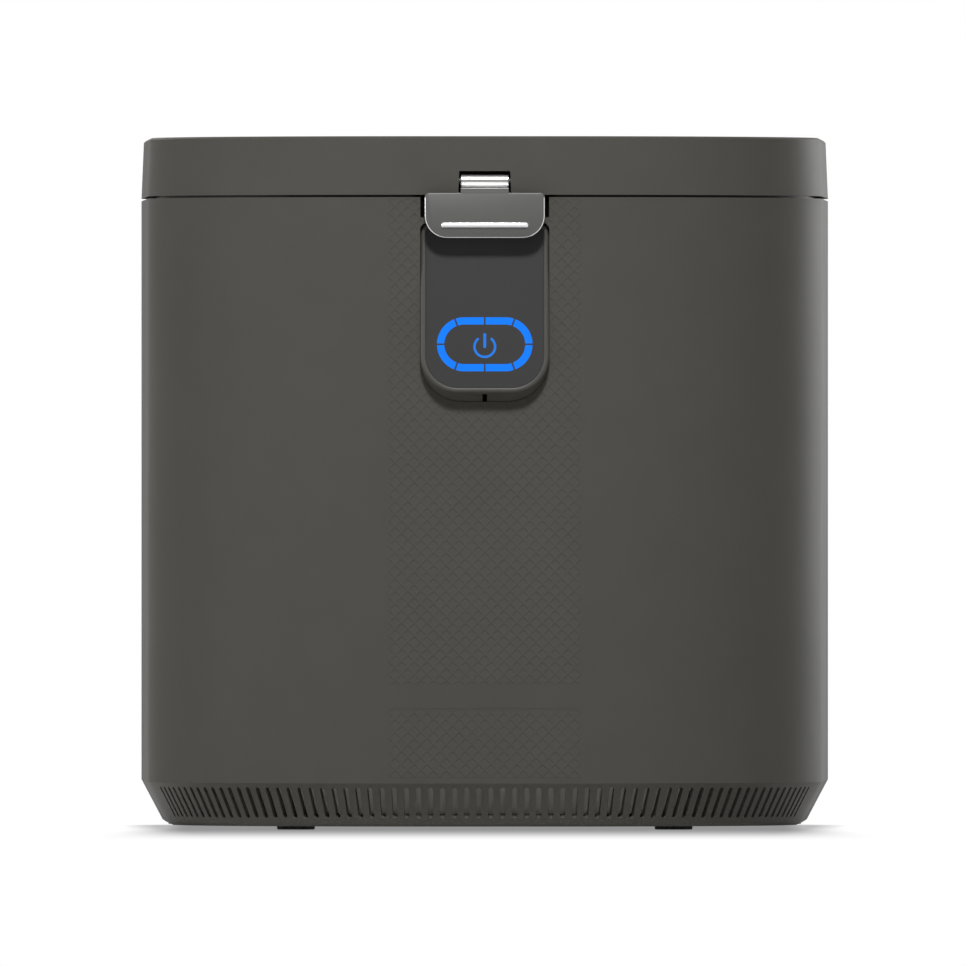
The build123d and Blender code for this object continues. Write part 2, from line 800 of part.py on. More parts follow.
def make_rear_panel():
    """Service panel with the fan's grille and the inlet's cut-out."""
    half = panel_width / 2
    panel = block(-half, half, rear_y - wall, rear_y, skirt_z + panel_low, seam_z - panel_high)
    tools = list(panel_screws)
    for number in range(grille_slots):
        z = fan_z + (number - (grille_slots - 1) / 2) * grille_pitch
        face = upright_plane(rear_y + over) * Pos(0, z) * SlotOverall(grille_slot_w, grille_slot_h)
        tools.append(extrude(face, amount=wall + 2 * over))
    tools.append(block(inlet_x - inlet_w / 2, inlet_x + inlet_w / 2, rear_y - wall - over, rear_y + over,
                       inlet_up - inlet_h / 2, inlet_up + inlet_h / 2))
    return without(panel, *tools)


keep("feet", Compound(children=[make_foot(x, y) for x, y in foot_places()]))
keep("base_tray", make_base_tray())
keep("outer_shell", make_outer_shell())
keep("rear_panel", make_rear_panel())
keep("case_screws", Compound(children=case_screws))
hinge_pins = [bar_x(a, b, hinge_y, hinge_z, hinge_pin_r) for a, b in hinge_pin_spans]
keep("hinge_pins", Compound(children=hinge_pins))


# ---------------------------------------------------------------- lid
barrel_y = front_y + barrel_in
barrel_z = lid_z + barrel_up
liner_z = lid_z + liner_lift
lid_inside_z = top_z - lid_top_t
lip_z = deck_z + slip
lid_screw_places = [(side * x, y) for side in (-1, 1)
                    for x, y in ((lid_screw_x, front_y + lid_screw_front),
                                 (body_width / 2 - lid_screw_side, well_y + lid_screw_behind),
                                 (body_width / 2 - lid_screw_corner, rear_y - lid_screw_rear))]
lid_screws = [screw(x, y, liner_z + screw_head_h / 2, (0, 0, 1), lid_screw_len) for x, y in lid_screw_places]
filter_y = bay_y + filter_d / 2
magnet_y = front_y + magnet_in


def notch_tool():
    """Notch in the lid's front edge, a little wider at its mouth."""
    half_low, half_top = notch_low_w / 2, notch_top_w / 2
    top = lid_z + notch_height
    corners = [(-half_low, lid_z - over), (half_low, lid_z - over), (half_top, top), (-half_top, top)]
    face = upright_plane(front_y + notch_depth) * make_face(Polyline(corners, close=True))
    return extrude(face, amount=notch_depth + 2 * over)


def notch_block(grow):
    """Solid stretch of lid round the notch, which carries the latch's pin."""
    half = latch_pin_len / 2 + latch_pin_end + grow
    return block(-half, half, front_y + wall / 2, front_y + notch_depth + notch_back + grow, lid_z,
                 lid_inside_z + bite)


def make_lid_cover():
    """Top and skirt of the lid, with the notch, screw bosses and hinge knuckles."""
    slope_z = top_z - lid_edge
    outer = tapered((0, lid_z), (lid_draft, slope_z), (lid_draft + lid_edge, top_z))
    inner = tapered((wall, lid_z - near), (wall + lid_draft, lid_inside_z))
    cover = outer - inner
    gain = [notch_block(0)]
    gain += [post(x, y, liner_z + liner_t, lid_inside_z + bite, lid_boss_r) for x, y in lid_screw_places]
    for a, b in lid_spans:
        root_y = rear_y - wall / 2 - lid_draft
        web = side_section([(root_y, hinge_z), (hinge_y + knuckle_r, hinge_z),
                            (rear_y - lid_draft, lid_z + knuckle_web), (root_y, lid_z + knuckle_web)], a, b)
        gain.append(web - block(a - over, b + over, root_y - over, rear_y - wall / 2, hinge_z - over, lid_z))
        gain.append(bar_x(a, b, hinge_y, hinge_z, knuckle_r))
    loss = [notch_tool(), bar_x(-latch_pin_len / 2, latch_pin_len / 2, barrel_y, barrel_z, latch_pin_r)]
    bay = notch_low_w / 2
    spring_len = 2 * spring_wire_r * spring_turns
    loss.append(bar_x(bay - over, bay + spring_len + spring_play, barrel_y, barrel_z, spring_bay_r))
    loss += knuckle_clearance(case_spans)
    loss += [bar_x(a - over, b + over, hinge_y, hinge_z, hinge_pin_r + running) for a, b in hinge_pin_spans]
    return without(joined(cover, *gain), *loss, *lid_screws)


def make_lid_liner():
    """Inner panel of the lid with the lip that closes the seam, and openings for the air."""
    liner = joined(prism(wall + slip, liner_z, liner_z + liner_t),
                   shell_ring(liner_lip_inset, liner_lip_t, lip_z, liner_z + bite))
    half = latch_pin_len / 2 + latch_pin_end + slip
    pocket_half = pocket_width / 2 + wall + slip
    low, high = liner_z - over, liner_z + liner_t + over
    loss = [block(-half, half, front_y, front_y + notch_depth + notch_back + slip, lip_z - over, high),
            block(-pocket_half, pocket_half, front_y, front_y + pocket_depth + wall + slip, lip_z - over,
                  lid_z + bite)]
    loss += knuckle_clearance(case_spans)
    loss.append(post(0, well_y, low, high, screen_r))
    loss.append(block(-port_w / 2, port_w / 2, filter_y - port_d / 2, filter_y + port_d / 2, low, high))
    loss.append(post(magnet_x, magnet_y, low, liner_z + liner_t / 2, magnet_r))
    return without(liner, *loss, *lid_screws)


def make_lid_duct():
    """Shallow channel over the liner that leads the moist air to the filter."""
    half = screen_r + duct_margin
    low, high = liner_z + liner_t, liner_z + liner_t + duct_h
    y0, y1 = well_y - half, filter_y + port_d / 2 + duct_end
    outer = block(-half, half, y0, y1, low, high)
    inner = block(-half + box_wall, half - box_wall, y0 + box_wall, y1 - box_wall, low - over,
                  high - box_wall)
    return outer - inner


def make_lid_screen():
    """Round screen in the liner with rings of holes."""
    disc = post(0, well_y, liner_z, liner_z + box_wall, screen_r)
    holes = []
    for ring, count in screen_rings:
        for number in range(count):
            turn = 2 * math.pi * number / count
            x, y = ring * math.cos(turn), well_y + ring * math.sin(turn)
            holes.append(post(x, y, liner_z - over, liner_z + box_wall + over, screen_hole_r))
    return without(disc, *holes)


keep("lid_cover", make_lid_cover())
keep("lid_liner", make_lid_liner())
keep("lid_gasket", tube(0, well_y, lip_z, liner_z, well_r + gasket_out + gasket_w, well_r + gasket_out))
keep("lid_duct", make_lid_duct())
keep("lid_screen", make_lid_screen())
keep("lid_magnet", post(magnet_x, magnet_y, lip_z + slip, liner_z + liner_t / 2, magnet_r))
keep("lid_screws", Compound(children=lid_screws))


# ---------------------------------------------------------------- latch
flap_y = front_y - flap_stand - flap_t
flap_high_z = lid_z + flap_overlap
flap_low_z = flap_high_z - flap_height
claw_top_z = barrel_z - claw_down + claw_t


def make_flap():
    """Flat flap with a bevelled edge, a tab that cradles the barrel and a claw for the catch."""
    face = panel_face(upright_plane(flap_y + flap_t), flap_width / 2, flap_low_z, flap_high_z, flap_corner_r,
                      flap_top_r)
    plate = extrude(face, amount=flap_t)
    front_edges = plate.edges().filter_by(lambda e: abs(e.center().Y - flap_y) < near
                                          and e.center().Z < flap_high_z - flap_top_r)
    plate = chamfer(front_edges, flap_bevel)
    tab_top = barrel_z - barrel_r - slip
    cradle_y, cradle_top = barrel_y + barrel_r + tab_back, barrel_z + barrel_r / 2
    tab = side_section([(flap_y, flap_high_z - tab_t), (flap_y, flap_high_z),
                        (flap_y + tab_t, tab_top - slip),
                        (barrel_y, tab_top), (barrel_y, cradle_top), (cradle_y, cradle_top),
                        (cradle_y, tab_top - tab_t), (flap_y + flap_t, tab_top - tab_t)],
                       -barrel_len / 2, barrel_len / 2)
    tab = tab - bar_x(-barrel_len, barrel_len, barrel_y, barrel_z, barrel_r)
    claw = block(-claw_width / 2, claw_width / 2, flap_y + flap_t - bite, front_y + barrel_in,
                 claw_top_z - claw_t, claw_top_z)
    return joined(plate, tab, claw)


def make_grip_rib():
    """Raised bar with round ends on the flap's face."""
    rib_z = flap_low_z + rib_up
    face = upright_plane(flap_y) * Pos(0, rib_z) * SlotOverall(rib_length, rib_height)
    bar = extrude(face, amount=rib_stand)
    front_edges = bar.edges().filter_by(lambda e: abs(e.center().Y - (flap_y - rib_stand)) < near)
    return fillet(front_edges, rib_edge_r)


def make_latch_spring():
    """Close-wound return spring beside the barrel, one ring a turn."""
    turns = []
    for number in range(spring_turns):
        x = notch_low_w / 2 + spring_wire_r * (2 * number + 1)
        ring = Torus(latch_pin_r + 2 * spring_wire_r, spring_wire_r)
        turns.append(Pos(x, barrel_y, barrel_z) * Rot(0, 90, 0) * ring)
    return Compound(children=turns)


def make_catch():
    """Steel ledge on the pocket's back wall, just above the claw."""
    low = claw_top_z + slip
    back = front_y + pocket_depth
    half = catch_width / 2
    ledge = block(-half, half, front_y + barrel_in + slip, back, low, low + catch_t)
    plate = block(-half, half, back - catch_t, back, low - catch_foot, low + catch_t)
    return joined(ledge, plate)


keep("latch_flap", make_flap())
keep("latch_grip_rib", make_grip_rib())
keep("latch_barrel", bar_x(-barrel_len / 2, barrel_len / 2, barrel_y, barrel_z, barrel_r)
     - bar_x(-barrel_len, barrel_len, barrel_y, barrel_z, latch_pin_r + running))
keep("latch_pin", bar_x(-latch_pin_len / 2, latch_pin_len / 2, barrel_y, barrel_z, latch_pin_r))
keep("latch_spring", make_latch_spring())
keep("latch_catch", make_catch())


# ---------------------------------------------------------------- console
lens_half = console_width / 2 - rim
lens_low = -console_down + rim
lens_high = console_up - rim
lens_r = console_corner_r - rim
lens_back = lens_sink + lens_t
board_depth = lens_back + ledge_t + board_room
ring_perimeter = 2 * (ring_length - ring_height) + math.pi * (ring_height - ring_band)


def ring_place(along):
    """Point of the light ring's middle line, and the direction square to it, from the top going right."""
    straight = ring_length - ring_height
    radius = (ring_height - ring_band) / 2
    arc = math.pi * radius
    along = along % ring_perimeter
    if along < straight / 2:
        return along, radius, 90.0
    along -= straight / 2
    if along < arc:
        turn = 90 - math.degrees(along / radius)
        place = math.radians(turn)
        return straight / 2 + radius * math.cos(place), radius * math.sin(place), turn
    along -= arc
    if along < straight:
        return straight / 2 - along, -radius, 90.0
    along -= straight
    if along < arc:
        turn = -90 - math.degrees(along / radius)
        place = math.radians(turn)
        return -straight / 2 + radius * math.cos(place), radius * math.sin(place), turn
    return -straight / 2 + along - arc, radius, 90.0


def light_ring_face():
    """Stadium ring cut into equal segments."""
    outer = SlotOverall(ring_length, ring_height)
    inner = SlotOverall(ring_length - 2 * ring_band, ring_height - 2 * ring_band)
    band = outer - inner
    for number in range(ring_segments):
        x, y, turn = ring_place(number * ring_perimeter / ring_segments)
        band = band - Pos(x, y) * Rot(0, 0, turn) * Rectangle(2 * ring_band, ring_gap)
    return Pos(0, -ring_drop) * band


def power_face():
    """Open ring and bar of the standby mark."""
    ring = Circle(power_r) - Circle(power_r - power_stroke)
    reach = 2 * power_r
    spread = reach * math.tan(math.radians(power_open))
    wedge = make_face(Polyline([(0, 0), (spread, reach), (-spread, reach)], close=True))
    upright = SlotOverall(power_bar_high - power_bar_low, power_bar_w, rotation=90)
    bar = Pos(0, (power_bar_low + power_bar_high) / 2) * upright
    return Pos(0, -ring_drop - power_drop) * ((ring - wedge) + bar)


def on_lens(sketch):
    """Thin inlays whose faces are flush with the lens."""
    placed = console_plane.offset(-lens_sink - light_t) * sketch
    return [extrude(face, amount=light_t) for face in placed.faces()]


def make_bezel():
    """Frame of the console with a recess for the lens, a space for the board and a flange behind the wall."""
    form, _ = console_form(0)
    flange_back = front_y + wall + console_flange_t
    half = console_width / 2 + console_flange
    flange = block(-half, half, front_y + wall, flange_back, console_foot_z - console_flange, console_top_z)
    deep = 4 * console_back
    loss = [tilted_block(lens_half, lens_low, lens_high, lens_r, console_top_r / 2, -over, lens_back),
            tilted_block(lens_half - ledge_in, lens_low + ledge_in, lens_high - ledge_in, lens_r - ledge_in,
                         board_corner_r, lens_back - bite, deep),
            tilted_block(lens_half - board_in, lens_low + board_in, board_top + board_play, lens_r - board_in,
                         board_corner_r, board_depth, deep)]
    mark_z = console_rim_z - slip
    loss.append(block(-slot_mark_w / 2, slot_mark_w / 2, front_y - 3 * flap_stand, front_y + wall / 2,
                      mark_z - slot_mark_h, mark_z))
    return without(joined(form, flange), *loss)


def make_console_board():
    """Circuit board with one light under each segment."""
    inset = board_in + board_play
    board = tilted_block(lens_half - inset, lens_low + inset, board_top, lens_r - inset, board_corner_r,
                         board_depth, board_depth + board_t)
    lamps = []
    plane = console_plane.offset(-board_depth)
    for number in range(ring_segments):
        x, y, _ = ring_place((number + 0.5) * ring_perimeter / ring_segments)
        lamps.append(plane * Pos(x, y - ring_drop, lamp_h / 2 - lamp_sunk) * Box(lamp_w, lamp_d, lamp_h))
    return joined(board, *lamps)


light_segments = on_lens(light_ring_face())
power_mark = on_lens(power_face())
lens = tilted_block(lens_half - running, lens_low + running, lens_high - running, lens_r, console_top_r / 2,
                    lens_sink, lens_back)
keep("console_bezel", make_bezel())
keep("console_lens", without(lens, *light_segments, *power_mark))
keep("light_segments", Compound(children=light_segments))
keep("power_mark", Compound(children=power_mark))
keep("console_board", make_console_board())


# ---------------------------------------------------------------- deck and bucket well
def make_deck():
    """Panel under the lid with openings for the bucket and the filter."""
    deck = prism(wall + slip, deck_low_z, deck_z)
    pocket_half = pocket_width / 2 + wall + slip
    low, high = deck_low_z - over, deck_z + over
    loss = [post(0, well_y, low, high, well_r),
            block(-pocket_half, pocket_half, front_y, front_y + pocket_depth + wall + slip, low, high),
            block(-filter_w / 2 + box_wall, filter_w / 2 - box_wall, bay_y + box_wall,
                  bay_y + filter_d - box_wall, low, high)]
    return without(deck, *loss, *deck_screws)


def make_well():
    """Steel cup that the bucket stands in, with a flange under the deck."""
    cup = post(0, well_y, well_floor_z, deck_low_z, well_r + well_wall)
    cup = cup - post(0, well_y, plate_z, deck_z, well_r)
    flange_z = deck_low_z - well_wall
    flange = tube(0, well_y, flange_z, deck_low_z, well_r + well_wall + well_flange_w, well_r)
    front = front_y + pocket_depth + wall + slip
    trimmed = flange - block(-pocket_width, pocket_width, front_y, front, flange_z - over, deck_low_z + over)
    return joined(cup, trimmed) - post(0, well_y, well_floor_z - over, plate_z + over, shaft_r + bush_wall)


keep("top_deck", make_deck())
keep("bucket_well", make_well())
element_z = plate_z + element_wire_r + running
groove = tube(0, well_y, plate_z - over, plate_z + 2 * element_wire_r + 2 * running,
              element_r + element_wire_r + running, element_r - element_wire_r - running)
plate = tube(0, well_y, plate_z, plate_z + heater_plate_t, pot_r - plate_in, heater_hole_r)
keep("heater_plate", plate - groove)
keep("heater_element", Pos(0, well_y, element_z) * Torus(element_r, element_wire_r))
keep("thermal_cutout", post(cutout_x, well_y - cutout_front, well_floor_z - cutout_h, well_floor_z, cutout_r))
keep("shaft_seal", tube(0, well_y, well_floor_z, plate_z + seal_stand, shaft_r + bush_wall,
                        shaft_r + running))


# ---------------------------------------------------------------- bucket, bail and agitator
def make_pot():
    """Round bucket with a rolled rim, two ears for the bail and a raised boss for the agitator's bush."""
    pot = post(0, well_y, pot_z, rim_z, pot_r)
    pot = fillet(pot.edges().group_by(Axis.Z)[0], pot_edge_r)
    bore = post(0, well_y, pot_z + pot_floor_t, rim_z + over, pot_in_r)
    bore = fillet(bore.edges().group_by(Axis.Z)[0], pot_edge_r - pot_wall)
    collar = tube(0, well_y, rim_z - rim_h, rim_z, pot_r + rim_w, pot_in_r)
    boss = post(0, well_y, pot_z, pot_z + pot_floor_t + boss_h, boss_r)
    gain = [collar, boss]
    for side in (-1, 1):
        x0, x1 = side * (pot_r + rim_w - ear_t), side * (pot_r + rim_w)
        ear = block(min(x0, x1), max(x0, x1), well_y - ear_w / 2, well_y + ear_w / 2, rim_z - rim_h, bail_z)
        tip = bar_x(min(x0, x1), max(x0, x1), well_y, bail_z, ear_tip_r)
        gain += [ear, tip]
    loss = [bar_x(-2 * pot_r, 2 * pot_r, well_y, bail_z, bail_pin_r + running),
            post(0, well_y, pot_z - over, rim_z, bush_r)]
    body = pot - bore
    return without(joined(body, *gain), *loss)


def bail_arc(radius, start, span):
    """Round bar along an arc about the bucket's axis."""
    turn = math.radians(start)
    place = (bail_r * math.cos(turn), well_y + bail_r * math.sin(turn), bail_z)
    tangent = (-math.sin(turn), math.cos(turn), 0)
    face = Plane(origin=place, z_dir=tangent) * Circle(radius)
    return revolve(face, axis=Axis((0, well_y, bail_z), (0, 0, 1)), revolution_arc=span)


def make_bail():
    """Wire handle folded forward over the rim, its ends turned out through the ears."""
    pins = []
    for side in (-1, 1):
        x0, x1 = side * (bail_r - bail_wire_r / 2), side * (pot_r + rim_w + bail_end)
        pins.append(bar_x(min(x0, x1), max(x0, x1), well_y, bail_z, bail_pin_r))
    return joined(bail_arc(bail_wire_r, 180, 180), *pins)


def make_cutters():
    """Fixed bars on the bucket's wall that the arms pass between."""
    bars = []
    low = pot_z + cutter_up
    reach = post(0, well_y, low - over, low + cutter_h + over, pot_in_r)
    for number in range(cutter_count):
        bar = block(pot_in_r - cutter_len, pot_in_r + over, -cutter_w / 2, cutter_w / 2, low, low + cutter_h)
        bars.append((Pos(0, well_y, 0) * Rot(0, 0, 90 + 360 * number / cutter_count) * bar) & reach)
    return Compound(children=bars)


def arm_pair(low, reach_r, turn):
    """Two arms on a ring round the hub, with bevelled leading edges."""
    ring = tube(0, well_y, low, low + arm_t, hub_r + arm_ring_w, hub_r)
    arms = []
    for side in (0, 180):
        top = low + arm_t
        bar = side_section([(-arm_w / 2, low), (arm_w / 2, low), (arm_w / 4, top), (-arm_w / 2, top)],
                           hub_r + over, reach_r)
        arms.append(Pos(0, well_y, 0) * Rot(0, 0, turn + side) * bar)
    return ring, arms


def make_sweep_arms():
    """Low arms that wipe the bucket's floor, with upright scrapers near the wall."""
    low = pot_z + sweep_up
    reach_r = pot_in_r - sweep_gap
    ring, arms = arm_pair(low, reach_r, sweep_phase)
    for side in (0, 180):
        scraper = block(reach_r - scraper_t, reach_r, -arm_w / 2, 0, low, low + scraper_h)
        arms.append(Pos(0, well_y, 0) * Rot(0, 0, sweep_phase + side) * scraper)
    return joined(ring, *arms)


def make_cut_arms():
    """Upper arms with saw-like notches along their lower edge."""
    low = pot_z + cut_arm_up
    ring, arms = arm_pair(low, pot_in_r - cut_gap, cut_phase)
    shape = joined(ring, *arms)
    notches = []
    for side in (0, 180):
        for number in range(saw_count):
            x = hub_r + saw_start + saw_pitch * number
            tooth = block(x, x + saw_w, -arm_w, arm_w, low - over, low + saw_h)
            notches.append(Pos(0, well_y, 0) * Rot(0, 0, cut_phase + side) * tooth)
    return without(shape, *notches)


bush_top_z = pot_z + pot_floor_t + boss_h
hub_low_z = bush_top_z + seal_h + plate_gap
hub_high_z = hub_low_z + hub_h


def dog_face(play, z):
    """Hexagon of the shaft's dog, or of the hub's socket."""
    return Plane(origin=(0, well_y, z)) * RegularPolygon(dog_flats / 2 + play, 6, major_radius=False)


def make_hub():
    """Agitator's hub: a shank down through the bush with a hexagonal socket, and a domed head."""
    shank = post(0, well_y, pot_z - shank_below, hub_low_z + over, shank_r)
    head = post(0, well_y, hub_low_z, hub_high_z, hub_r)
    head = fillet(head.edges().group_by(Axis.Z)[-1], hub_r / 3)
    face = dog_face(dog_play, pot_z - shank_below - over)
    return joined(shank, head) - extrude(face, amount=over + shank_below + dog_h + dog_room)


def make_drive_shaft():
    """Output shaft with a hexagonal dog on top."""
    shaft = post(0, well_y, gearbox_z + slip, pot_z + over, shaft_r)
    return joined(shaft, extrude(dog_face(0, pot_z), amount=dog_h))


keep("bucket_pot", make_pot())
keep("bail_handle", make_bail())
grip = bail_arc(grip_r, 270 - grip_half, 2 * grip_half)
keep("bail_grip", grip - bail_arc(bail_wire_r, 270 - 2 * grip_half, 4 * grip_half))
keep("fixed_cutters", make_cutters())
keep("pot_bush", tube(0, well_y, pot_z, bush_top_z, bush_r, shank_r + running))
keep("pot_seal", tube(0, well_y, bush_top_z, bush_top_z + seal_h, bush_r, shank_r + running))
keep("agitator_hub", make_hub())
keep("sweep_arms", make_sweep_arms())
keep("cutting_arms", make_cut_arms())


# ---------------------------------------------------------------- gearbox and motor
def hull_prism(circles, z0, z1):
    """Upright solid with the outline that wraps the given circles."""
    edges = [(Pos(x, y) * Circle(radius)).edge() for x, y, radius in circles]
    return extrude(Plane(origin=(0, 0, z0)) * make_hull(edges), amount=z1 - z0)


output_tip_r = output_module * output_teeth / 2 + output_module
input_tip_r = input_module * input_teeth / 2 + input_module
motor_tip_r = input_module * motor_teeth / 2 + input_module
gear_circles = [(0, well_y, output_tip_r + gear_room), (0, compound_y, input_tip_r + gear_room),
                (motor_x, compound_y, motor_tip_r + gear_room)]
case_circles = [(x, y, radius + gearbox_wall) for x, y, radius in gear_circles]
lug_circles = [(x, y, lug_r) for x, y in post_places]
bush_z = gearbox_z + gearbox_floor_t + bush_stand


def make_gearbox_housing():
    """Open-topped gear case on a mounting flange."""
    flange = hull_prism(case_circles + lug_circles, gearbox_z, gearbox_z + gearbox_floor_t)
    case = hull_prism(case_circles, gearbox_z, cover_z)
    room = hull_prism(gear_circles, gearbox_z + gearbox_floor_t, cover_z + over)
    boss = post(0, well_y, gearbox_z, bush_z, shaft_r + 2 * bush_wall)
    pedestal = post(0, compound_y, gearbox_z, output_gear_z - slip, axle_r + pedestal_wall)
    low, high = gearbox_z - over, bush_z + over
    loss = [post(0, well_y, low, high, shaft_r + bush_wall),
            post(0, compound_y, gearbox_z + axle_seat, cover_z, axle_r),
            post(motor_x, compound_y, low, high, motor_shaft_r + bush_wall)]
    return without(joined(flange, case - room, boss, pedestal), *loss, *gearbox_screws)


def make_gearbox_cover():
    """Lid of the gear case, with the upper bush's seat and a ring that carries the well."""
    plate = hull_prism(case_circles, cover_z, cover_z + gearbox_cover_t)
    pad = tube(0, well_y, cover_z, well_floor_z, output_tip_r, output_tip_r - pad_w)
    loss = [post(0, well_y, cover_z - over, well_floor_z + over, shaft_r + bush_wall),
            post(0, compound_y, cover_z - over, cover_z + gearbox_cover_t - axle_seat, axle_r)]
    return without(joined(plate, pad), *loss)


def make_compound_gear():
    """Double gear: a small pinion that drives the output gear under a large gear that the motor drives."""
    pinion_phase = 270 + 180 / output_pinion_teeth
    pinion = gear(output_pinion_teeth, output_module, input_gear_z - output_gear_z, output_gear_z, 0,
                  compound_y, pinion_phase)
    wheel = gear(input_teeth, input_module, input_gear_t, input_gear_z, 0, compound_y, 0)
    return joined(pinion, wheel) - post(0, compound_y, gearbox_z, cover_z, axle_r + running)


def make_motor_can():
    """Closed can with the motor's windings, hollow for the rotor, and a spigot in the gear case's floor."""
    low = gearbox_z - motor_h
    can = post(motor_x, compound_y, low, gearbox_z, motor_r)
    spigot = post(motor_x, compound_y, gearbox_z - over, gearbox_z + gearbox_floor_t,
                  motor_shaft_r + bush_wall)
    room = post(motor_x, compound_y, low + motor_wall, gearbox_z - motor_wall, motor_r - motor_wall)
    bore = post(motor_x, compound_y, low + motor_seat, bush_z, motor_shaft_r + running)
    return without(joined(can, spigot), room, bore)


def make_motor_rotor():
    """Shaft with its armature."""
    low = gearbox_z - motor_h
    shaft = post(motor_x, compound_y, low + motor_seat + slip, input_gear_z + input_gear_t + rotor_end,
                 motor_shaft_r)
    core = post(motor_x, compound_y, low + 2 * motor_wall, gearbox_z - 2 * motor_wall, rotor_r)
    return joined(shaft, core)


keep("drive_shaft", make_drive_shaft())
keep("output_gear", gear(output_teeth, output_module, output_gear_t, output_gear_z, 0, well_y, 90)
     - post(0, well_y, gearbox_z, cover_z, shaft_r))
keep("shaft_bushes", Compound(children=[
    tube(0, well_y, gearbox_z, bush_z, shaft_r + bush_wall, shaft_r + running),
    tube(0, well_y, cover_z, well_floor_z, shaft_r + bush_wall, shaft_r + running)]))
keep("compound_gear", make_compound_gear())
keep("compound_axle", post(0, compound_y, gearbox_z + axle_seat, cover_z + gearbox_cover_t - axle_seat,
                           axle_r))
motor_pinion = gear(motor_teeth, input_module, input_gear_t + 2 * pinion_over, input_gear_z - pinion_over,
                    motor_x, compound_y, 180 + 180 / motor_teeth)
keep("motor_pinion", motor_pinion - post(motor_x, compound_y, gearbox_z, cover_z, motor_shaft_r))
keep("motor_rotor", make_motor_rotor())
keep("motor_can", make_motor_can())
keep("gearbox_housing", make_gearbox_housing())
keep("gearbox_cover", make_gearbox_cover())


# ---------------------------------------------------------------- rear bay: filter, fan, boards and inlet
cartridge_z = filter_z + box_wall + slip
cartridge_top_z = deck_low_z - cartridge_drop


def grille_holes(x_half, y0, y1, z0, z1, count):
    """Row of slots along X, cut downwards."""
    pitch = (y1 - y0) / count
    middles = [y0 + pitch * (number + 0.5) for number in range(count)]
    return [block(-x_half, x_half, y - pitch / 4, y + pitch / 4, z0, z1) for y in middles]


def make_filter_housing():
    """Box under the deck that the filter drops into, slotted below."""
    half = filter_w / 2
    box = block(-half, half, bay_y, bay_back_y, filter_z, deck_low_z)
    room = block(-half + box_wall, half - box_wall, bay_y + box_wall, bay_back_y - box_wall,
                 filter_z + box_wall, deck_low_z + over)
    slots = grille_holes(duct_w / 2 - vent_side, bay_y + vent_front, fan_y - vent_back, filter_z - over,
                         filter_z + box_wall + over, vent_count)
    return without(box, room, *slots)


def make_filter_case():
    """Filter's plastic case with slotted ends and a pull tab."""
    gap = box_wall + cartridge_gap
    half = filter_w / 2 - gap
    y0, y1 = bay_y + gap, bay_back_y - gap
    case = block(-half, half, y0, y1, cartridge_z, cartridge_top_z)
    room = block(-half + cartridge_wall, half - cartridge_wall, y0 + cartridge_wall, y1 - cartridge_wall,
                 cartridge_z + cartridge_wall, cartridge_top_z - cartridge_wall)
    mid = (y0 + y1) / 2
    tab = block(-pull_w / 2, pull_w / 2, mid - pull_t / 2, mid + pull_t / 2, cartridge_top_z - over,
                cartridge_top_z + cartridge_drop)
    slot_half, front, back = half - cartridge_side, y0 + cartridge_edge, y1 - cartridge_edge
    roof = cartridge_top_z - cartridge_wall - over, cartridge_top_z + over
    slots = grille_holes(slot_half, front, mid - pull_room, *roof, upper_slots)
    slots += grille_holes(slot_half, mid + pull_room, back, *roof, upper_slots)
    slots += grille_holes(slot_half, front, back, cartridge_z - over, cartridge_z + cartridge_wall + over,
                          lower_slots)
    return without(joined(case, tab), room, *slots)


def make_carbon():
    """Block of carbon that fills the filter's case."""
    gap = box_wall + cartridge_gap + cartridge_wall
    half = filter_w / 2 - gap
    return block(-half, half, bay_y + gap, bay_back_y - gap, cartridge_z + cartridge_wall,
                 cartridge_top_z - cartridge_wall)


def make_fan_frame():
    """Square frame with four spokes that carry the fan's motor."""
    half = fan_size / 2
    frame = block(-half, half, fan_y, rear_y - wall, fan_z - half, fan_z + half)
    frame = frame - bar_y(0, fan_y - over, rear_y, fan_z, fan_bore_r)
    back, front = rear_y - wall, rear_y - wall - spoke_t
    reach, half_w = fan_bore_r + bite, spoke_w / 2
    spokes = [block(-reach, reach, front, back, fan_z - half_w, fan_z + half_w),
              block(-half_w, half_w, front, back, fan_z - reach, fan_z + reach)]
    stator = bar_y(0, back - stator_t, back, fan_z, stator_r)
    bore = bar_y(0, back - stator_t - over, back - fan_play, fan_z, fan_shaft_r + running)
    return joined(frame, *spokes, stator) - bore


def make_fan_impeller():
    """Hub with pitched blades and a short shaft."""
    y0, y1 = fan_y + fan_front, rear_y - wall - stator_t - fan_play
    middle = (y0 + y1) / 2
    hub = bar_y(0, y0, y1, fan_z, fan_hub_r)
    shaft = bar_y(0, y1 - over, y1 + stator_t - fan_play, fan_z, fan_shaft_r)
    sweep = bar_y(0, y0, y1, fan_z, fan_bore_r - blade_gap)
    blades = []
    for number in range(fan_blades):
        blade = Box(fan_bore_r, blade_chord, blade_t)
        blade = Pos((fan_hub_r + fan_bore_r) / 2, 0, 0) * Rot(blade_pitch, 0, 0) * blade
        blades.append(Pos(0, middle, fan_z) * Rot(0, 360 * number / fan_blades, 0) * blade)
    return joined(hub, *[blade & sweep for blade in blades], shaft)


def make_air_duct():
    """Box that leads the air from the filter down to the fan."""
    half = duct_w / 2
    y0 = bay_y + duct_in
    z0, z1 = fan_z - fan_size / 2 - box_wall, filter_z
    outer = block(-half, half, y0, fan_y, z0, z1)
    inside, front, low = half - box_wall, y0 + box_wall, z0 + box_wall
    inner = block(-inside, inside, front, fan_y + over, low, fan_z + fan_size / 2)
    upper = block(-inside, inside, front, fan_y - box_wall, low, z1 + over)
    return without(outer, inner, upper)


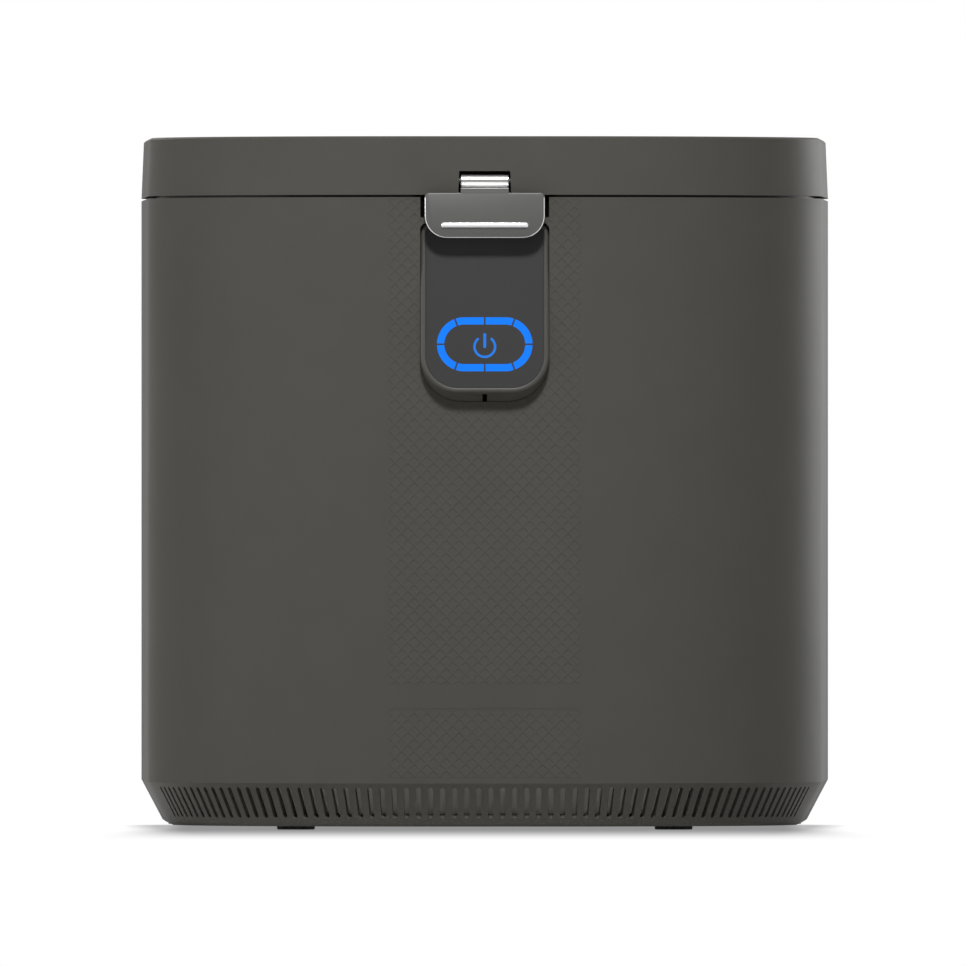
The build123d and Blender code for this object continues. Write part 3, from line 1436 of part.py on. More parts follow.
def make_board():
    """Main circuit board on four standoffs."""
    board = block(board_x, board_x + board_t, board_y, board_y + board_d, board_up, board_up + board_h)
    legs = []
    for y in (board_y + standoff_in, board_y + board_d - standoff_in):
        for z in (board_up + standoff_in, board_up + board_h - standoff_in):
            legs.append(bar_x(board_x + board_t / 2, board_x + board_t + standoff, y, z, standoff_r))
    return joined(board, *legs)


def make_board_components():
    """Relays, coils, capacitors, a heat sink and connectors on the board's inner face."""
    made = []
    for height, front, rear, low, high in component_boxes:
        made.append(block(board_x - height, board_x, board_y + front * board_d, board_y + rear * board_d,
                          board_up + low * board_h, board_up + high * board_h))
    for inward, up in capacitor_spots:
        made.append(bar_x(board_x - capacitor_h, board_x, board_y + inward * board_d, board_up + up * board_h,
                          capacitor_r))
    return Compound(children=made)


def make_inlet():
    """Mains inlet: a socket with a flange behind the rear panel."""
    half_w, half_h = inlet_w / 2, inlet_h / 2
    front = rear_y - inlet_depth
    body = block(inlet_x - half_w, inlet_x + half_w, front, rear_y, inlet_up - half_h, inlet_up + half_h)
    flange_w, flange_h = half_w + inlet_flange, half_h + inlet_flange
    flange = block(inlet_x - flange_w, inlet_x + flange_w, rear_y - wall - inlet_flange_t, rear_y - wall,
                   inlet_up - flange_h, inlet_up + flange_h)
    room_w, room_h = half_w - inlet_shell, half_h - inlet_shell
    room = block(inlet_x - room_w, inlet_x + room_w, front + inlet_shell, rear_y + over,
                 inlet_up - room_h, inlet_up + room_h)
    return without(joined(body, flange), room)


def make_inlet_pins():
    """Three flat contacts standing in the socket."""
    front = rear_y - inlet_depth + inlet_shell
    pins = []
    for dx, dz in ((-pin_spread, -pin_rise), (0.0, pin_rise), (pin_spread, -pin_rise)):
        x, z = inlet_x + dx, inlet_up + dz
        pins.append(block(x - pin_t / 2, x + pin_t / 2, front, front + pin_len, z - pin_w / 2, z + pin_w / 2))
    return Compound(children=pins)


keep("filter_housing", make_filter_housing())
keep("filter_case", make_filter_case())
keep("filter_carbon", make_carbon())
keep("fan_frame", make_fan_frame())
keep("fan_impeller", make_fan_impeller())
keep("air_duct", make_air_duct())
keep("main_board", make_board())
keep("board_components", make_board_components())
keep("power_inlet", make_inlet())
keep("inlet_pins", make_inlet_pins())
keep("reed_sensor", block(magnet_x - 2 * magnet_r, magnet_x + 2 * magnet_r, magnet_y - magnet_r / 2,
                          magnet_y + magnet_r / 2, deck_low_z - magnet_r, deck_low_z))

# ---------------------------------------------------------------- files
os.makedirs("parts", exist_ok=True)
for name, shape in parts.items():
    export_step(shape, f"parts/{name}.step")
places = {"lid hinge y": hinge_y, "lid hinge z": hinge_z, "latch y": barrel_y, "latch z": barrel_z,
          "drive y": well_y, "bail z": bail_z, "double gear y": compound_y, "motor x": motor_x,
          "fan z": fan_z}
print(len(parts), "nodes;", ", ".join(f"{name} {value:.3f}" for name, value in places.items()))
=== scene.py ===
# %% [markdown]
# # Electric food waste composter
# This lesson dresses a ready-made CAD model of a kitchen composter. The solids arrive as the frame, already in
# place and in metres. We add the camera, the light and the finishes, and we make anew the few forms that CAD
# leaves too plain: the textured front, the rounded console frame, the bevelled latch and the screws.

# %% Load the frame
import math

import bmesh
import bpy
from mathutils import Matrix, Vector


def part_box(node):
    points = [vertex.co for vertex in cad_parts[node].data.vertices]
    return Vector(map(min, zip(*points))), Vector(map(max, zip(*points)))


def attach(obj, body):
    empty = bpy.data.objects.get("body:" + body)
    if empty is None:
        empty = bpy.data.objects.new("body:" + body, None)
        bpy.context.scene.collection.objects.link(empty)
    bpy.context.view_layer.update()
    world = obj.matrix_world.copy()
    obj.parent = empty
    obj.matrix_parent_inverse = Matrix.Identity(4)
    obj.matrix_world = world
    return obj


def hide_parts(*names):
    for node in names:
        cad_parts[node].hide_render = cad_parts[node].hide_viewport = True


MM = 0.001
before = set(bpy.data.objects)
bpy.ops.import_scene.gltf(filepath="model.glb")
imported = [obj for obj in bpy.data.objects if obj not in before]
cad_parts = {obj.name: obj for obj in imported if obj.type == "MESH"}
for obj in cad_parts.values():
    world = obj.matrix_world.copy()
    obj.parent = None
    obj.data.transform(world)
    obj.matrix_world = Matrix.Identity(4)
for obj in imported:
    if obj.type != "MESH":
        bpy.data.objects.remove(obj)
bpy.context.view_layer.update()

# %% [markdown]
# ## The camera
# The real thing is seen straight from the front with almost no perspective, as through a very long lens. An
# orthographic camera would do that too, but a long perspective lens also works when the view is turned later.
# The lens and the distance are tied: together they fix how much of the object fills the picture.

# %% Camera
LENS = 1690.0
SENSOR = 36.0
SHOWN_WIDTH = 404.85 * MM
AIM = Vector((-0.73 * MM, -25 * MM, 144.6 * MM))
CLIP_NEAR, CLIP_FAR = 1.0, 60.0


def new_object(name, data):
    """An object at the origin, in the scene."""
    made = bpy.data.objects.new(name, data)
    bpy.context.scene.collection.objects.link(made)
    return made


camera_data = bpy.data.cameras.new("front_camera")
camera_data.lens = LENS
camera_data.sensor_width = SENSOR
camera_data.clip_start, camera_data.clip_end = CLIP_NEAR, CLIP_FAR
camera = new_object("front_camera", camera_data)
camera.location = AIM - Vector((0, SHOWN_WIDTH * LENS / SENSOR, 0))
camera.rotation_euler = (math.pi / 2, 0, 0)
bpy.context.scene.camera = camera
bpy.context.scene.view_settings.view_transform = "Standard"
print("camera stands", round(-camera.location.y, 2), "m in front")


# %% [markdown]
# ## A short way to write node trees
# Finishes, light and Geometry Nodes are all node trees. One helper adds a node, sets its properties and fills or
# links its inputs, so that a tree reads from top to bottom like a recipe.

# %% Node helper
def link(tree, source, socket):
    """Link a node's first output, or the output socket that is given, to an input."""
    tree.links.new(source.outputs[0] if isinstance(source, bpy.types.Node) else source, socket)


def add(tree, kind, inputs=None, **settings):
    """Add a node; an input takes a plain value, or the node or the output socket that feeds it."""
    node = tree.nodes.new(kind)
    for name, value in settings.items():
        setattr(node, name, value)
    for name, value in (inputs or {}).items():
        if isinstance(value, (bpy.types.Node, bpy.types.NodeSocket)):
            link(tree, value, node.inputs[name])
        else:
            node.inputs[name].default_value = value
    return node


def math_node(tree, operation, first, second=0.0):
    """A Math node."""
    return add(tree, "ShaderNodeMath", {0: first, 1: second}, operation=operation)


def map_range(tree, value, old, new, blend="LINEAR"):
    """The value carried from an old range to a new one, held at its ends."""
    return add(tree, "ShaderNodeMapRange", {"Value": value, "From Min": old[0], "From Max": old[1],
                                            "To Min": new[0], "To Max": new[1]}, interpolation_type=blend)


def vector(tree, **parts):
    """A vector from its X, Y and Z; what isn't given is 0."""
    return add(tree, "ShaderNodeCombineXYZ", parts)


def parts_of(tree, source):
    """A vector's X, Y and Z."""
    return add(tree, "ShaderNodeSeparateXYZ", {0: source}).outputs


print("node helpers ready")

# %% [markdown]
# ## Studio
# The object stands on a white sweep under soft light. The world is a plain pale surround. Rays from the camera,
# and rays that a shiny or clear surface sends out, see it as pure white. The light on dull surfaces stays lower,
# so that nothing washes out. One soft lamp above the front draws the shadow under the latch.

# %% Surround and lamps
WORLD_LEVEL = 0.07
LAMP_AIM = Vector((0, 0, 0.15))
LAMPS = {
    "key_lamp": ((0.03, -1.62, 1.98), 0.34, 58.0),
    "left_lamp": ((-2.55, -0.3, 0.7), 0.9, 18.0),
    "right_lamp": ((1.5, 2.2, 0.6), 1.0, 22.0),
    "back_lamp": ((-0.4, 2.3, 1.6), 1.3, 26.0),
}


def camera_or(tree, plain, shown):
    """Camera, mirrored and clear rays get the shown shader, and all other rays the plain one."""
    path = add(tree, "ShaderNodeLightPath").outputs
    seen = math_node(tree, "MAXIMUM", path["Is Camera Ray"], path["Is Glossy Ray"])
    seen = math_node(tree, "MAXIMUM", seen, path["Is Transmission Ray"])
    return add(tree, "ShaderNodeMixShader", {0: seen, 1: plain, 2: shown})


world = bpy.data.worlds.new("pale_surround")
world.use_nodes = True
bpy.context.scene.world = world
tree = world.node_tree
tree.nodes.clear()
plain, white = [add(tree, "ShaderNodeBackground", {"Color": (1, 1, 1, 1), "Strength": level})
                for level in (WORLD_LEVEL, 1.0)]
add(tree, "ShaderNodeOutputWorld", {"Surface": camera_or(tree, plain, white)})

for name, (place, size, power) in LAMPS.items():
    lamp_data = bpy.data.lights.new(name, "AREA")
    lamp_data.size = size
    lamp_data.energy = power
    lamp = new_object(name, lamp_data)
    lamp.location = place
    lamp.rotation_mode = "QUATERNION"
    lamp.rotation_quaternion = (Vector(place) - LAMP_AIM).to_track_quat("Z", "Y")
print(len(LAMPS), "lamps")

# %% [markdown]
# The floor is matt paper. To the camera it must merge with the white surround and yet keep a soft shadow where
# the case stands. That shadow is painted: camera rays and mirrored rays see a glow that an Ambient Occlusion node
# dims, as it measures how much of the sky each spot of the floor can see. Every other ray sees plain paper. A longer,
# soft painted shadow reaches forwards, where the lamp behind the case would throw one. It is laid out from the
# floor's own coordinates, and the darker of the two painted shadows shows.

# %% Floor
FLOOR_HALF = 6.0
PAPER = 0.62
SKY_SAMPLES = 24
SHADOW_REACH = 0.018
OPEN_SKY = (0.4, 0.92)
SHOWN = (0.5, 1.0)
# Painted shadow in front of the case: half width, softness, reach along and behind, and darkest level.
PAINTED_SHADOW_HALF = 0.138
PAINTED_SHADOW_SOFT, PAINTED_SHADOW_SOFT_ENDS = (0.034, 0.014), (-0.7, -0.15)
PAINTED_SHADOW_ALONG, PAINTED_SHADOW_BEHIND, PAINTED_SHADOW_LEVEL = (-0.7, -0.08), (0.12, 0.2), 0.3

floor_mesh = bpy.data.meshes.new("floor")
floor_mesh.from_pydata(
    [(x * FLOOR_HALF, y * FLOOR_HALF, 0) for x, y in ((-1, -1), (1, -1), (1, 1), (-1, 1))], [], [(0, 1, 2, 3)]
)
floor = new_object("floor", floor_mesh)
floor_paint = bpy.data.materials.new("floor_paper")
floor_paint.use_nodes = True
tree = floor_paint.node_tree
tree.nodes.clear()
paper = add(tree, "ShaderNodeBsdfDiffuse", {"Color": (PAPER, PAPER, PAPER, 1)})
# Painted shadow: the Ambient Occlusion value dims the floor's glow near the case.
sky = add(tree, "ShaderNodeAmbientOcclusion", {"Distance": SHADOW_REACH}, samples=SKY_SAMPLES).outputs["AO"]
spot = parts_of(tree, add(tree, "ShaderNodeTexCoord").outputs["Object"])
# Painted shadow: a soft band forwards of the case, laid out from the floor's own coordinates.
beyond_edge = math_node(tree, "SUBTRACT", math_node(tree, "ABSOLUTE", spot["X"]), PAINTED_SHADOW_HALF)
softness = map_range(tree, spot["Y"], PAINTED_SHADOW_SOFT_ENDS, PAINTED_SHADOW_SOFT)
across = map_range(tree, math_node(tree, "DIVIDE", beyond_edge, softness), (-1.0, 1.0), (1.0, 0.0), "SMOOTHSTEP")
along = map_range(tree, spot["Y"], PAINTED_SHADOW_ALONG, (0.0, 1.0), "SMOOTHSTEP")
behind = map_range(tree, spot["Y"], PAINTED_SHADOW_BEHIND, (1.0, 0.0), "SMOOTHSTEP")
painted_shadow = math_node(tree, "MULTIPLY", across, math_node(tree, "MULTIPLY", along, behind))
glow = math_node(tree, "MINIMUM", map_range(tree, sky, OPEN_SKY, SHOWN),
                 map_range(tree, painted_shadow, (0.0, 1.0), (1.0, PAINTED_SHADOW_LEVEL)))
shown = add(tree, "ShaderNodeEmission", {"Strength": glow})
add(tree, "ShaderNodeOutputMaterial", {"Surface": camera_or(tree, paper, shown)})
floor_mesh.materials.append(floor_paint)
print("floor", 2 * FLOOR_HALF, "m wide")


# %% [markdown]
# ## Shared effects
# Real plastic and metal are never one flat colour. Moulded plastic has a fine spark-eroded grain, hands leave
# soft marks on it, dust settles low down, and rolled or turned metal carries fine lines. Each effect is one node
# group with its own inputs, built once and placed in every finish that needs it. The groups give out only
# colours and values; the surface shader itself stays in each material.

# %% Effect helpers
def new_sockets(tree, direction, rows):
    """Name a tree's inputs or outputs, each with its kind and perhaps a default."""
    for label, kind, *default in rows:
        socket = tree.interface.new_socket(label, in_out=direction, socket_type="NodeSocket" + kind)
        if default:
            socket.default_value = default[0]


def effect_group(name, inputs, *outputs):
    """An empty shader group, with its input and output nodes."""
    group = bpy.data.node_groups.new(name, "ShaderNodeTree")
    new_sockets(group, "INPUT", inputs)
    new_sockets(group, "OUTPUT", outputs)
    return group, add(group, "NodeGroupInput").outputs, add(group, "NodeGroupOutput")


def feed(group, end, **sources):
    """Link results to the group's outputs by name."""
    for label, source in sources.items():
        link(group, source, end.inputs[label])


def blend_colour(tree, factor, first, second):
    """Colour mixed from first to second by the factor."""
    return add(tree, "ShaderNodeMix", {0: factor, 6: first, 7: second}, data_type="RGBA").outputs[2]


def own_place(tree):
    """The piece's own coordinates, in metres."""
    return add(tree, "ShaderNodeTexCoord").outputs["Object"]


def noise(tree, place, scale, detail, roughness=0.5, distortion=0.0):
    """Noise over a place."""
    return add(tree, "ShaderNodeTexNoise", {"Vector": place, "Scale": scale, "Detail": detail,
                                            "Roughness": roughness, "Distortion": distortion})


print("effect helpers ready")

# %% Moulded grain
grain_group, start, end = effect_group(
    "moulded_grain", [("Grain", "Float", 2600.0), ("Ripple", "Float", 60.0)],
    ("Height", "Float"), ("Tone", "Float"))
feed(grain_group, end, Height=noise(grain_group, own_place(grain_group), start["Grain"], 2.0, 0.6),
     Tone=noise(grain_group, own_place(grain_group), start["Ripple"], 3.0))
print("group", grain_group.name)

# %% Handling marks
marks_group, start, end = effect_group(
    "handling_marks",
    [("Colour", "Color", (0.1, 0.1, 0.1, 1)), ("Rubbed", "Color", (0.12, 0.12, 0.12, 1)),
     ("Amount", "Float", 0.5), ("Roughness", "Float", 0.5), ("Shine", "Float", 0.08)],
    ("Colour", "Color"), ("Roughness", "Float"))
patch = noise(marks_group, own_place(marks_group), 14.0, 4.0, 0.62, 0.4)
mask = map_range(marks_group, patch, (0.42, 0.68), (0.0, 1.0))
amount, shine = [math_node(marks_group, "MULTIPLY", mask, start[label]) for label in ("Amount", "Shine")]
feed(marks_group, end, Colour=blend_colour(marks_group, amount, start["Colour"], start["Rubbed"]),
     Roughness=math_node(marks_group, "SUBTRACT", start["Roughness"], shine))
print("group", marks_group.name)

# %% Settled dust
dust_group, start, end = effect_group(
    "settled_dust",
    [("Colour", "Color", (0.1, 0.1, 0.1, 1)), ("Dust", "Color", (0.3, 0.29, 0.27, 1)), ("Amount", "Float", 0.2),
     ("Reach", "Float", 0.03)], ("Colour", "Color"))
height = parts_of(dust_group, own_place(dust_group))["Z"]
low_down = map_range(dust_group, height, (0.0, start["Reach"]), (1.0, 0.0))
flecks = noise(dust_group, own_place(dust_group), 900.0, 3.0)
mask = math_node(dust_group, "MULTIPLY", low_down, map_range(dust_group, flecks, (0.45, 0.7), (0.2, 1.0)))
mask = math_node(dust_group, "MULTIPLY", mask, start["Amount"])
feed(dust_group, end, Colour=blend_colour(dust_group, mask, start["Colour"], start["Dust"]))
print("group", dust_group.name)

# %% Working lines
lines_group, start, end = effect_group(
    "working_lines", [("Stretch", "Vector", (40.0, 40.0, 3000.0)), ("Roughness", "Float", 0.3),
                      ("Spread", "Float", 0.12)],
    ("Height", "Float"), ("Roughness", "Float"), ("Tone", "Float"))
scaled = add(lines_group, "ShaderNodeVectorMath", {0: own_place(lines_group), 1: start["Stretch"]},
             operation="MULTIPLY")
lines = noise(lines_group, scaled, 1.0, 4.0, 0.7)
spread = math_node(lines_group, "MULTIPLY", math_node(lines_group, "SUBTRACT", lines, 0.5), start["Spread"])
feed(lines_group, end, Height=lines, Roughness=math_node(lines_group, "ADD", start["Roughness"], spread),
     Tone=map_range(lines_group, lines, (0.3, 0.7), (0.0, 1.0)))
print("group", lines_group.name)

# %% Flecks
fleck_group, start, end = effect_group(
    "coat_flecks", [("Colour", "Color", (0.05, 0.05, 0.05, 1)), ("Fleck", "Color", (0.5, 0.5, 0.5, 1)),
                    ("Density", "Float", 500.0), ("Size", "Float", 0.22)],
    ("Colour", "Color"), ("Height", "Float"))
cells = add(fleck_group, "ShaderNodeTexVoronoi", {
    "Vector": own_place(fleck_group), "Scale": start["Density"], "Randomness": 1.0}).outputs
inside = math_node(fleck_group, "LESS_THAN", cells["Distance"], start["Size"])
chosen = parts_of(fleck_group, cells["Color"])["X"]
inside = math_node(fleck_group, "MULTIPLY", inside, math_node(fleck_group, "GREATER_THAN", chosen, 0.55))
feed(fleck_group, end, Colour=blend_colour(fleck_group, inside, start["Colour"], start["Fleck"]),
     Height=cells["Distance"])
print("group", fleck_group.name)


# %% [markdown]
# ## Finishes
# A finish is a Principled shader fed by the groups. Most plastics differ only in colour, gloss and grain, and
# most metals in colour, polish and the direction of their lines, so two functions make them all. Each finish is
# filed under the name of the slot that it fills, so a solid finds its own.

# %% Finish makers
RUBBED, RIPPLED, WORN_LINE = 1.16, 0.8, 0.9
TONE_RANGE = (0.3, 0.7)
finishes = {}


def linear(red, green, blue):
    """A colour read off as 0 to 255, in the linear values that a shader wants."""
    return (*[(level / 255) ** 2.2 for level in (red, green, blue)], 1)


def lighter(colour, factor):
    """The same hue, brighter or darker."""
    return (*[min(1.0, level * factor) for level in colour[:3]], 1)


def new_finish(slot):
    """An empty material under its slot's name, with its tree."""
    material = bpy.data.materials.new("finish_" + slot)
    material.use_nodes = True
    material.node_tree.nodes.clear()
    finishes[slot] = material
    return material.node_tree


def close_finish(tree, colour, roughness, height=None, depth=0.0, strength=1.0, **more):
    """The bump, the Principled shader and the output; more of the shader's inputs go by name."""
    surface = {"Base Color": colour, "Roughness": roughness}
    surface.update({name.replace("_", " "): value for name, value in more.items()})
    if height is not None:
        surface["Normal"] = add(tree, "ShaderNodeBump", {
            "Strength": strength, "Distance": depth * MM, "Height": height})
    add(tree, "ShaderNodeOutputMaterial", {"Surface": add(tree, "ShaderNodeBsdfPrincipled", surface)})


def use(tree, group, **inputs):
    """Place a shared effect, with its inputs by name."""
    return add(tree, "ShaderNodeGroup", inputs, node_tree=group).outputs


def moulded(slot, colour, roughness, grain=2600.0, depth=0.012, rub=0.35, shine=0.08, dust=0.0, specular=0.5):
    """Moulded plastic or rubber: grain, soft handling marks and some dust low down."""
    tree = new_finish(slot)
    grains = use(tree, grain_group, Grain=grain)
    marks = use(tree, marks_group, Colour=colour, Rubbed=lighter(colour, RUBBED), Amount=rub, Roughness=roughness,
                Shine=shine)
    tone = map_range(tree, grains["Tone"], TONE_RANGE, (0.0, 0.16))
    base = blend_colour(tree, tone, marks["Colour"], lighter(colour, RIPPLED))
    if dust:
        base = use(tree, dust_group, Colour=base, Amount=dust)["Colour"]
    close_finish(tree, base, marks["Roughness"], grains["Height"], depth, Specular_IOR_Level=specular)


def worked_metal(slot, colour, roughness, stretch, depth=0.004, spread=0.14, metallic=1.0):
    """Bare or plated metal with fine lines from rolling, drawing or turning."""
    tree = new_finish(slot)
    lines = use(tree, lines_group, Stretch=stretch, Roughness=roughness, Spread=spread)
    base = blend_colour(tree, lines["Tone"], lighter(colour, WORN_LINE), colour)
    close_finish(tree, base, lines["Roughness"], lines["Height"], depth, Metallic=metallic)


print("finish makers ready")

# %% Plastics and rubbers
moulded("case_body", linear(79, 78, 74), 0.5, depth=0.010, rub=0.2, shine=0.025, specular=0.025)
moulded("case_skirt", linear(80, 79, 75), 0.55, depth=0.010, dust=0.15, specular=0.05)
moulded("console_frame", linear(73, 72, 68), 0.45, depth=0.008, specular=0.2)
moulded("inner_plastic", linear(42, 42, 42), 0.55, grain=1800.0, depth=0.02, dust=0.2)
moulded("foot_rubber", linear(20, 20, 20), 0.75, grain=1500.0, depth=0.03, dust=0.5)
moulded("seal_rubber", linear(28, 28, 29), 0.6, grain=1200.0, depth=0.01)
# Near-black matt rubber for the wedge below the console slot's mouth: painted shade.
moulded("slot_painted_shade_rubber", linear(12, 12, 12), 0.9, grain=1200.0, depth=0.01, specular=0.0)
moulded("vent_fleece", linear(176, 175, 170), 0.95, grain=900.0, depth=0.1, specular=0.0)
moulded("fan_plastic", linear(22, 22, 23), 0.45)
moulded("grip_plastic", linear(24, 24, 25), 0.62, grain=3200.0, depth=0.02)
moulded("gear_plastic", linear(208, 203, 184), 0.38, depth=0.004)
moulded("filter_plastic", linear(142, 144, 144), 0.5)
moulded("component_plastic", linear(30, 30, 33), 0.42)
print(len(finishes), "finishes so far")

# %% Metals
worked_metal("screw_steel", linear(150, 150, 152), 0.32, (900, 900, 900))
# Darker steel for the latch pin alone, so its ends beside the barrel stay dark: painted shade.
worked_metal("pin_painted_shade_steel", linear(70, 70, 71), 0.5, (900, 60, 60))
worked_metal("well_steel", linear(168, 168, 168), 0.3, (60, 60, 2600))
worked_metal("heater_alloy", linear(176, 176, 178), 0.38, (1500, 1500, 60))
worked_metal("element_steel", linear(104, 98, 92), 0.45, (300, 300, 300))
worked_metal("bush_bronze", linear(186, 140, 84), 0.42, (700, 700, 700), depth=0.01)
worked_metal("gearbox_alloy", linear(140, 140, 142), 0.55, (500, 500, 500), depth=0.03)
worked_metal("motor_steel", linear(132, 132, 134), 0.36, (40, 40, 1800))
worked_metal("contact_brass", linear(206, 176, 104), 0.25, (800, 60, 800))
worked_metal("cutter_steel", linear(172, 172, 172), 0.34, (1400, 1400, 200))
worked_metal("latch_chrome", linear(236, 236, 236), 0.2, (30, 1500, 1500), depth=0.0015, spread=0.05, metallic=0.85)
# Darker, duller finish for the barrel's grooves: painted dark bands in its reflection.
worked_metal("barrel_painted_dark_band", linear(140, 140, 138), 0.4, (30, 2500, 2500), depth=0.003, metallic=0.3)
worked_metal("barrel_land", linear(240, 240, 240), 0.55, (30, 1500, 1500), depth=0.0015, spread=0.05, metallic=0.85)
print(len(finishes), "finishes so far")

# %% [markdown]
# Four surfaces have a character of their own. The flap is a satin paint over metal, the bucket wears a dark
# ceramic coat with pale flecks, the circuit board shows copper under its green mask, and the carbon is coarse and
# dead black.

# %% Coated surfaces
tree = new_finish("flap_metal")
grains = use(tree, grain_group, Grain=3400.0, Ripple=90.0)
marks = use(tree, marks_group, Colour=linear(84, 84, 82), Rubbed=linear(91, 91, 88), Amount=0.3, Roughness=0.46)
close_finish(tree, marks["Colour"], marks["Roughness"], grains["Height"], 0.004, Metallic=0.28)

tree = new_finish("bucket_alloy")
flecks = use(tree, fleck_group, Colour=linear(44, 44, 45), Fleck=linear(122, 122, 120), Density=620.0, Size=0.2)
marks = use(tree, marks_group, Colour=flecks["Colour"], Rubbed=linear(58, 58, 58), Amount=0.3, Roughness=0.4)
close_finish(tree, marks["Colour"], marks["Roughness"], flecks["Height"], 0.01, 0.6)

tree = new_finish("circuit_board")
tracks = add(tree, "ShaderNodeTexBrick", {
    "Vector": own_place(tree), "Color1": linear(16, 74, 40), "Color2": linear(18, 84, 46),
    "Mortar": linear(30, 110, 62), "Scale": 160.0, "Mortar Size": 0.03})
marks = use(tree, marks_group, Colour=tracks, Rubbed=linear(24, 92, 52), Amount=0.2, Roughness=0.3)
close_finish(tree, marks["Colour"], marks["Roughness"])

tree = new_finish("carbon")
flecks = use(tree, fleck_group, Colour=linear(16, 16, 16), Fleck=linear(34, 34, 35), Density=700.0, Size=0.3)
close_finish(tree, flecks["Colour"], 0.85, flecks["Height"], 0.3)
print(len(finishes), "finishes so far")

# %% [markdown]
# The console's window is a smoked gloss panel. The ring and the standby mark behind it are diffusers lit from
# below: their colour comes from emission, with a slight fall-off that noise keeps uneven, and almost no gloss of
# their own, because the window's surface lies over them.

# %% Console finishes
UNLIT = (0.002, 0.01, 0.03, 1)

tree = new_finish("console_glass")
grains = use(tree, grain_group, Grain=400.0, Ripple=30.0)
marks = use(tree, marks_group, Colour=linear(64, 64, 64), Rubbed=linear(67, 67, 67), Amount=0.5, Roughness=0.25)
close_finish(tree, marks["Colour"], marks["Roughness"], grains["Height"], 0.001, 0.4, Specular_IOR_Level=0.03)

for slot, colour, dimmer in (("ring_light", linear(4, 124, 255), linear(3, 119, 247)),
                             ("mark_light", linear(40, 124, 230), linear(34, 112, 214))):
    tree = new_finish(slot)
    grains = use(tree, grain_group, Grain=1500.0, Ripple=120.0)
    glow = blend_colour(tree, map_range(tree, grains["Tone"], TONE_RANGE, (0.0, 0.5)), colour, dimmer)
    close_finish(tree, UNLIT, 0.5, Emission_Color=glow, Emission_Strength=1.0, Specular_IOR_Level=0.1)
print(len(finishes), "finishes in all")


# %% [markdown]
# ## Turning a tree into a piece
# Geometry Nodes do the work where something repeats. The helper below runs a tree on a throw-away object, keeps
# the evaluated result as a plain mesh at the world's origin and deletes the worker. Each input is set by its
# identifier before the first evaluation.

# %% Piece helpers
def geometry_tree(name, inputs, takes_mesh=False):
    """An empty Geometry Nodes tree with named inputs, and its two end nodes."""
    tree = bpy.data.node_groups.new(name, "GeometryNodeTree")
    new_sockets(tree, "OUTPUT", [("Geometry", "Geometry")])
    new_sockets(tree, "INPUT", ([("Geometry", "Geometry")] if takes_mesh else []) + inputs)
    return tree, add(tree, "NodeGroupInput").outputs, add(tree, "NodeGroupOutput")


def end_tree(tree, end, geometry, finish):
    """Every tree ends the same way: real geometry, then its finish."""
    real = add(tree, "GeometryNodeRealizeInstances", {0: geometry})
    link(tree, add(tree, "GeometryNodeSetMaterial", {"Geometry": real, "Material": finish}), end.inputs[0])


def moved(tree, geometry, offset):
    """Geometry, carried by an offset."""
    return add(tree, "GeometryNodeTransform", {"Geometry": geometry, "Translation": offset})


def joined(tree, *parts):
    """Several geometries as one."""
    whole = add(tree, "GeometryNodeJoinGeometry")
    for part in parts:
        link(tree, part, whole.inputs[0])
    return whole


def finished_mesh(worker):
    """The worker's evaluated shape as a plain mesh; the worker goes."""
    bpy.context.view_layer.update()
    depsgraph = bpy.context.evaluated_depsgraph_get()
    mesh = bpy.data.meshes.new_from_object(worker.evaluated_get(depsgraph))
    bpy.data.objects.remove(worker)
    return mesh


def grow(name, tree, values=None, base=None):
    """Run a tree with the values of its inputs, and return the mesh."""
    worker = new_object(name + "_worker", base or bpy.data.meshes.new(name))
    nodes = worker.modifiers.new("tree", "NODES")
    nodes.node_group = tree
    for item in tree.interface.items_tree:
        if item.in_out == "INPUT" and item.name in (values or {}):
            nodes[item.identifier] = values[item.name]
    return finished_mesh(worker)


def settle(name, mesh, body, slot, *nodes, sharp=None):
    """Make the piece, let it ride on its body and stand it in for CAD nodes.

    A limit in degrees makes its faces smooth, with edges steeper than the limit kept sharp. The slot is not used.
    """
    if sharp is not None:
        mesh.shade_smooth()
        mesh.set_sharp_from_angle(angle=math.radians(sharp))
    mesh.name = name
    piece = new_object(name, mesh)
    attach(piece, body)
    if nodes:
        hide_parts(*nodes)
    print(name, len(mesh.polygons), "faces")


print("piece helpers ready")

# %% [markdown]
# ## The textured front
# A band 80 mm wide down the middle of the front carries a faint lattice: raised ribs at 45 degrees with a sunken
# diamond between them. A bump map would vanish in a side view, so it is real geometry in the shallow recess that
# the shell has for it. One diamond cell is made from a four-sided circle, twice extruded and scaled, and copied
# on two staggered grids. Each diamond is deepest at its top, so from the front only a small dark chevron shows.
# The last step wraps the flat lattice round the front's curve and holds it to its borders.

# %% Lattice cell
CASE_FRONT = -154.0
FRONT_Y = CASE_FRONT * MM
FLAT_HALF = 28.7 * MM
ARC_RADIUS = 112.53 * MM
FIELD_HALF = 40.0 * MM
COLUMNS = 15
PITCH = 2 * 40.02 * MM / COLUMNS
ROW_PAIRS = 46
FIELD_TOP = 262.8 * MM
MIDDLE_SHARE = 0.55

lattice, start, end = geometry_tree("front_lattice", [
    ("Pitch", "Float", PITCH), ("Columns", "Int", COLUMNS), ("Row pairs", "Int", ROW_PAIRS),
    ("Rib scale", "Float", 0.82), ("Floor scale", "Float", 0.84), ("Depth", "Float", 0.16 * MM),
    ("Level", "Float", -0.004 * MM), ("Low", "Float", 0.0), ("High", "Float", FIELD_TOP)])


def maths(operation, first, second=0.0):
    """Math in the lattice tree."""
    return math_node(lattice, operation, first, second)


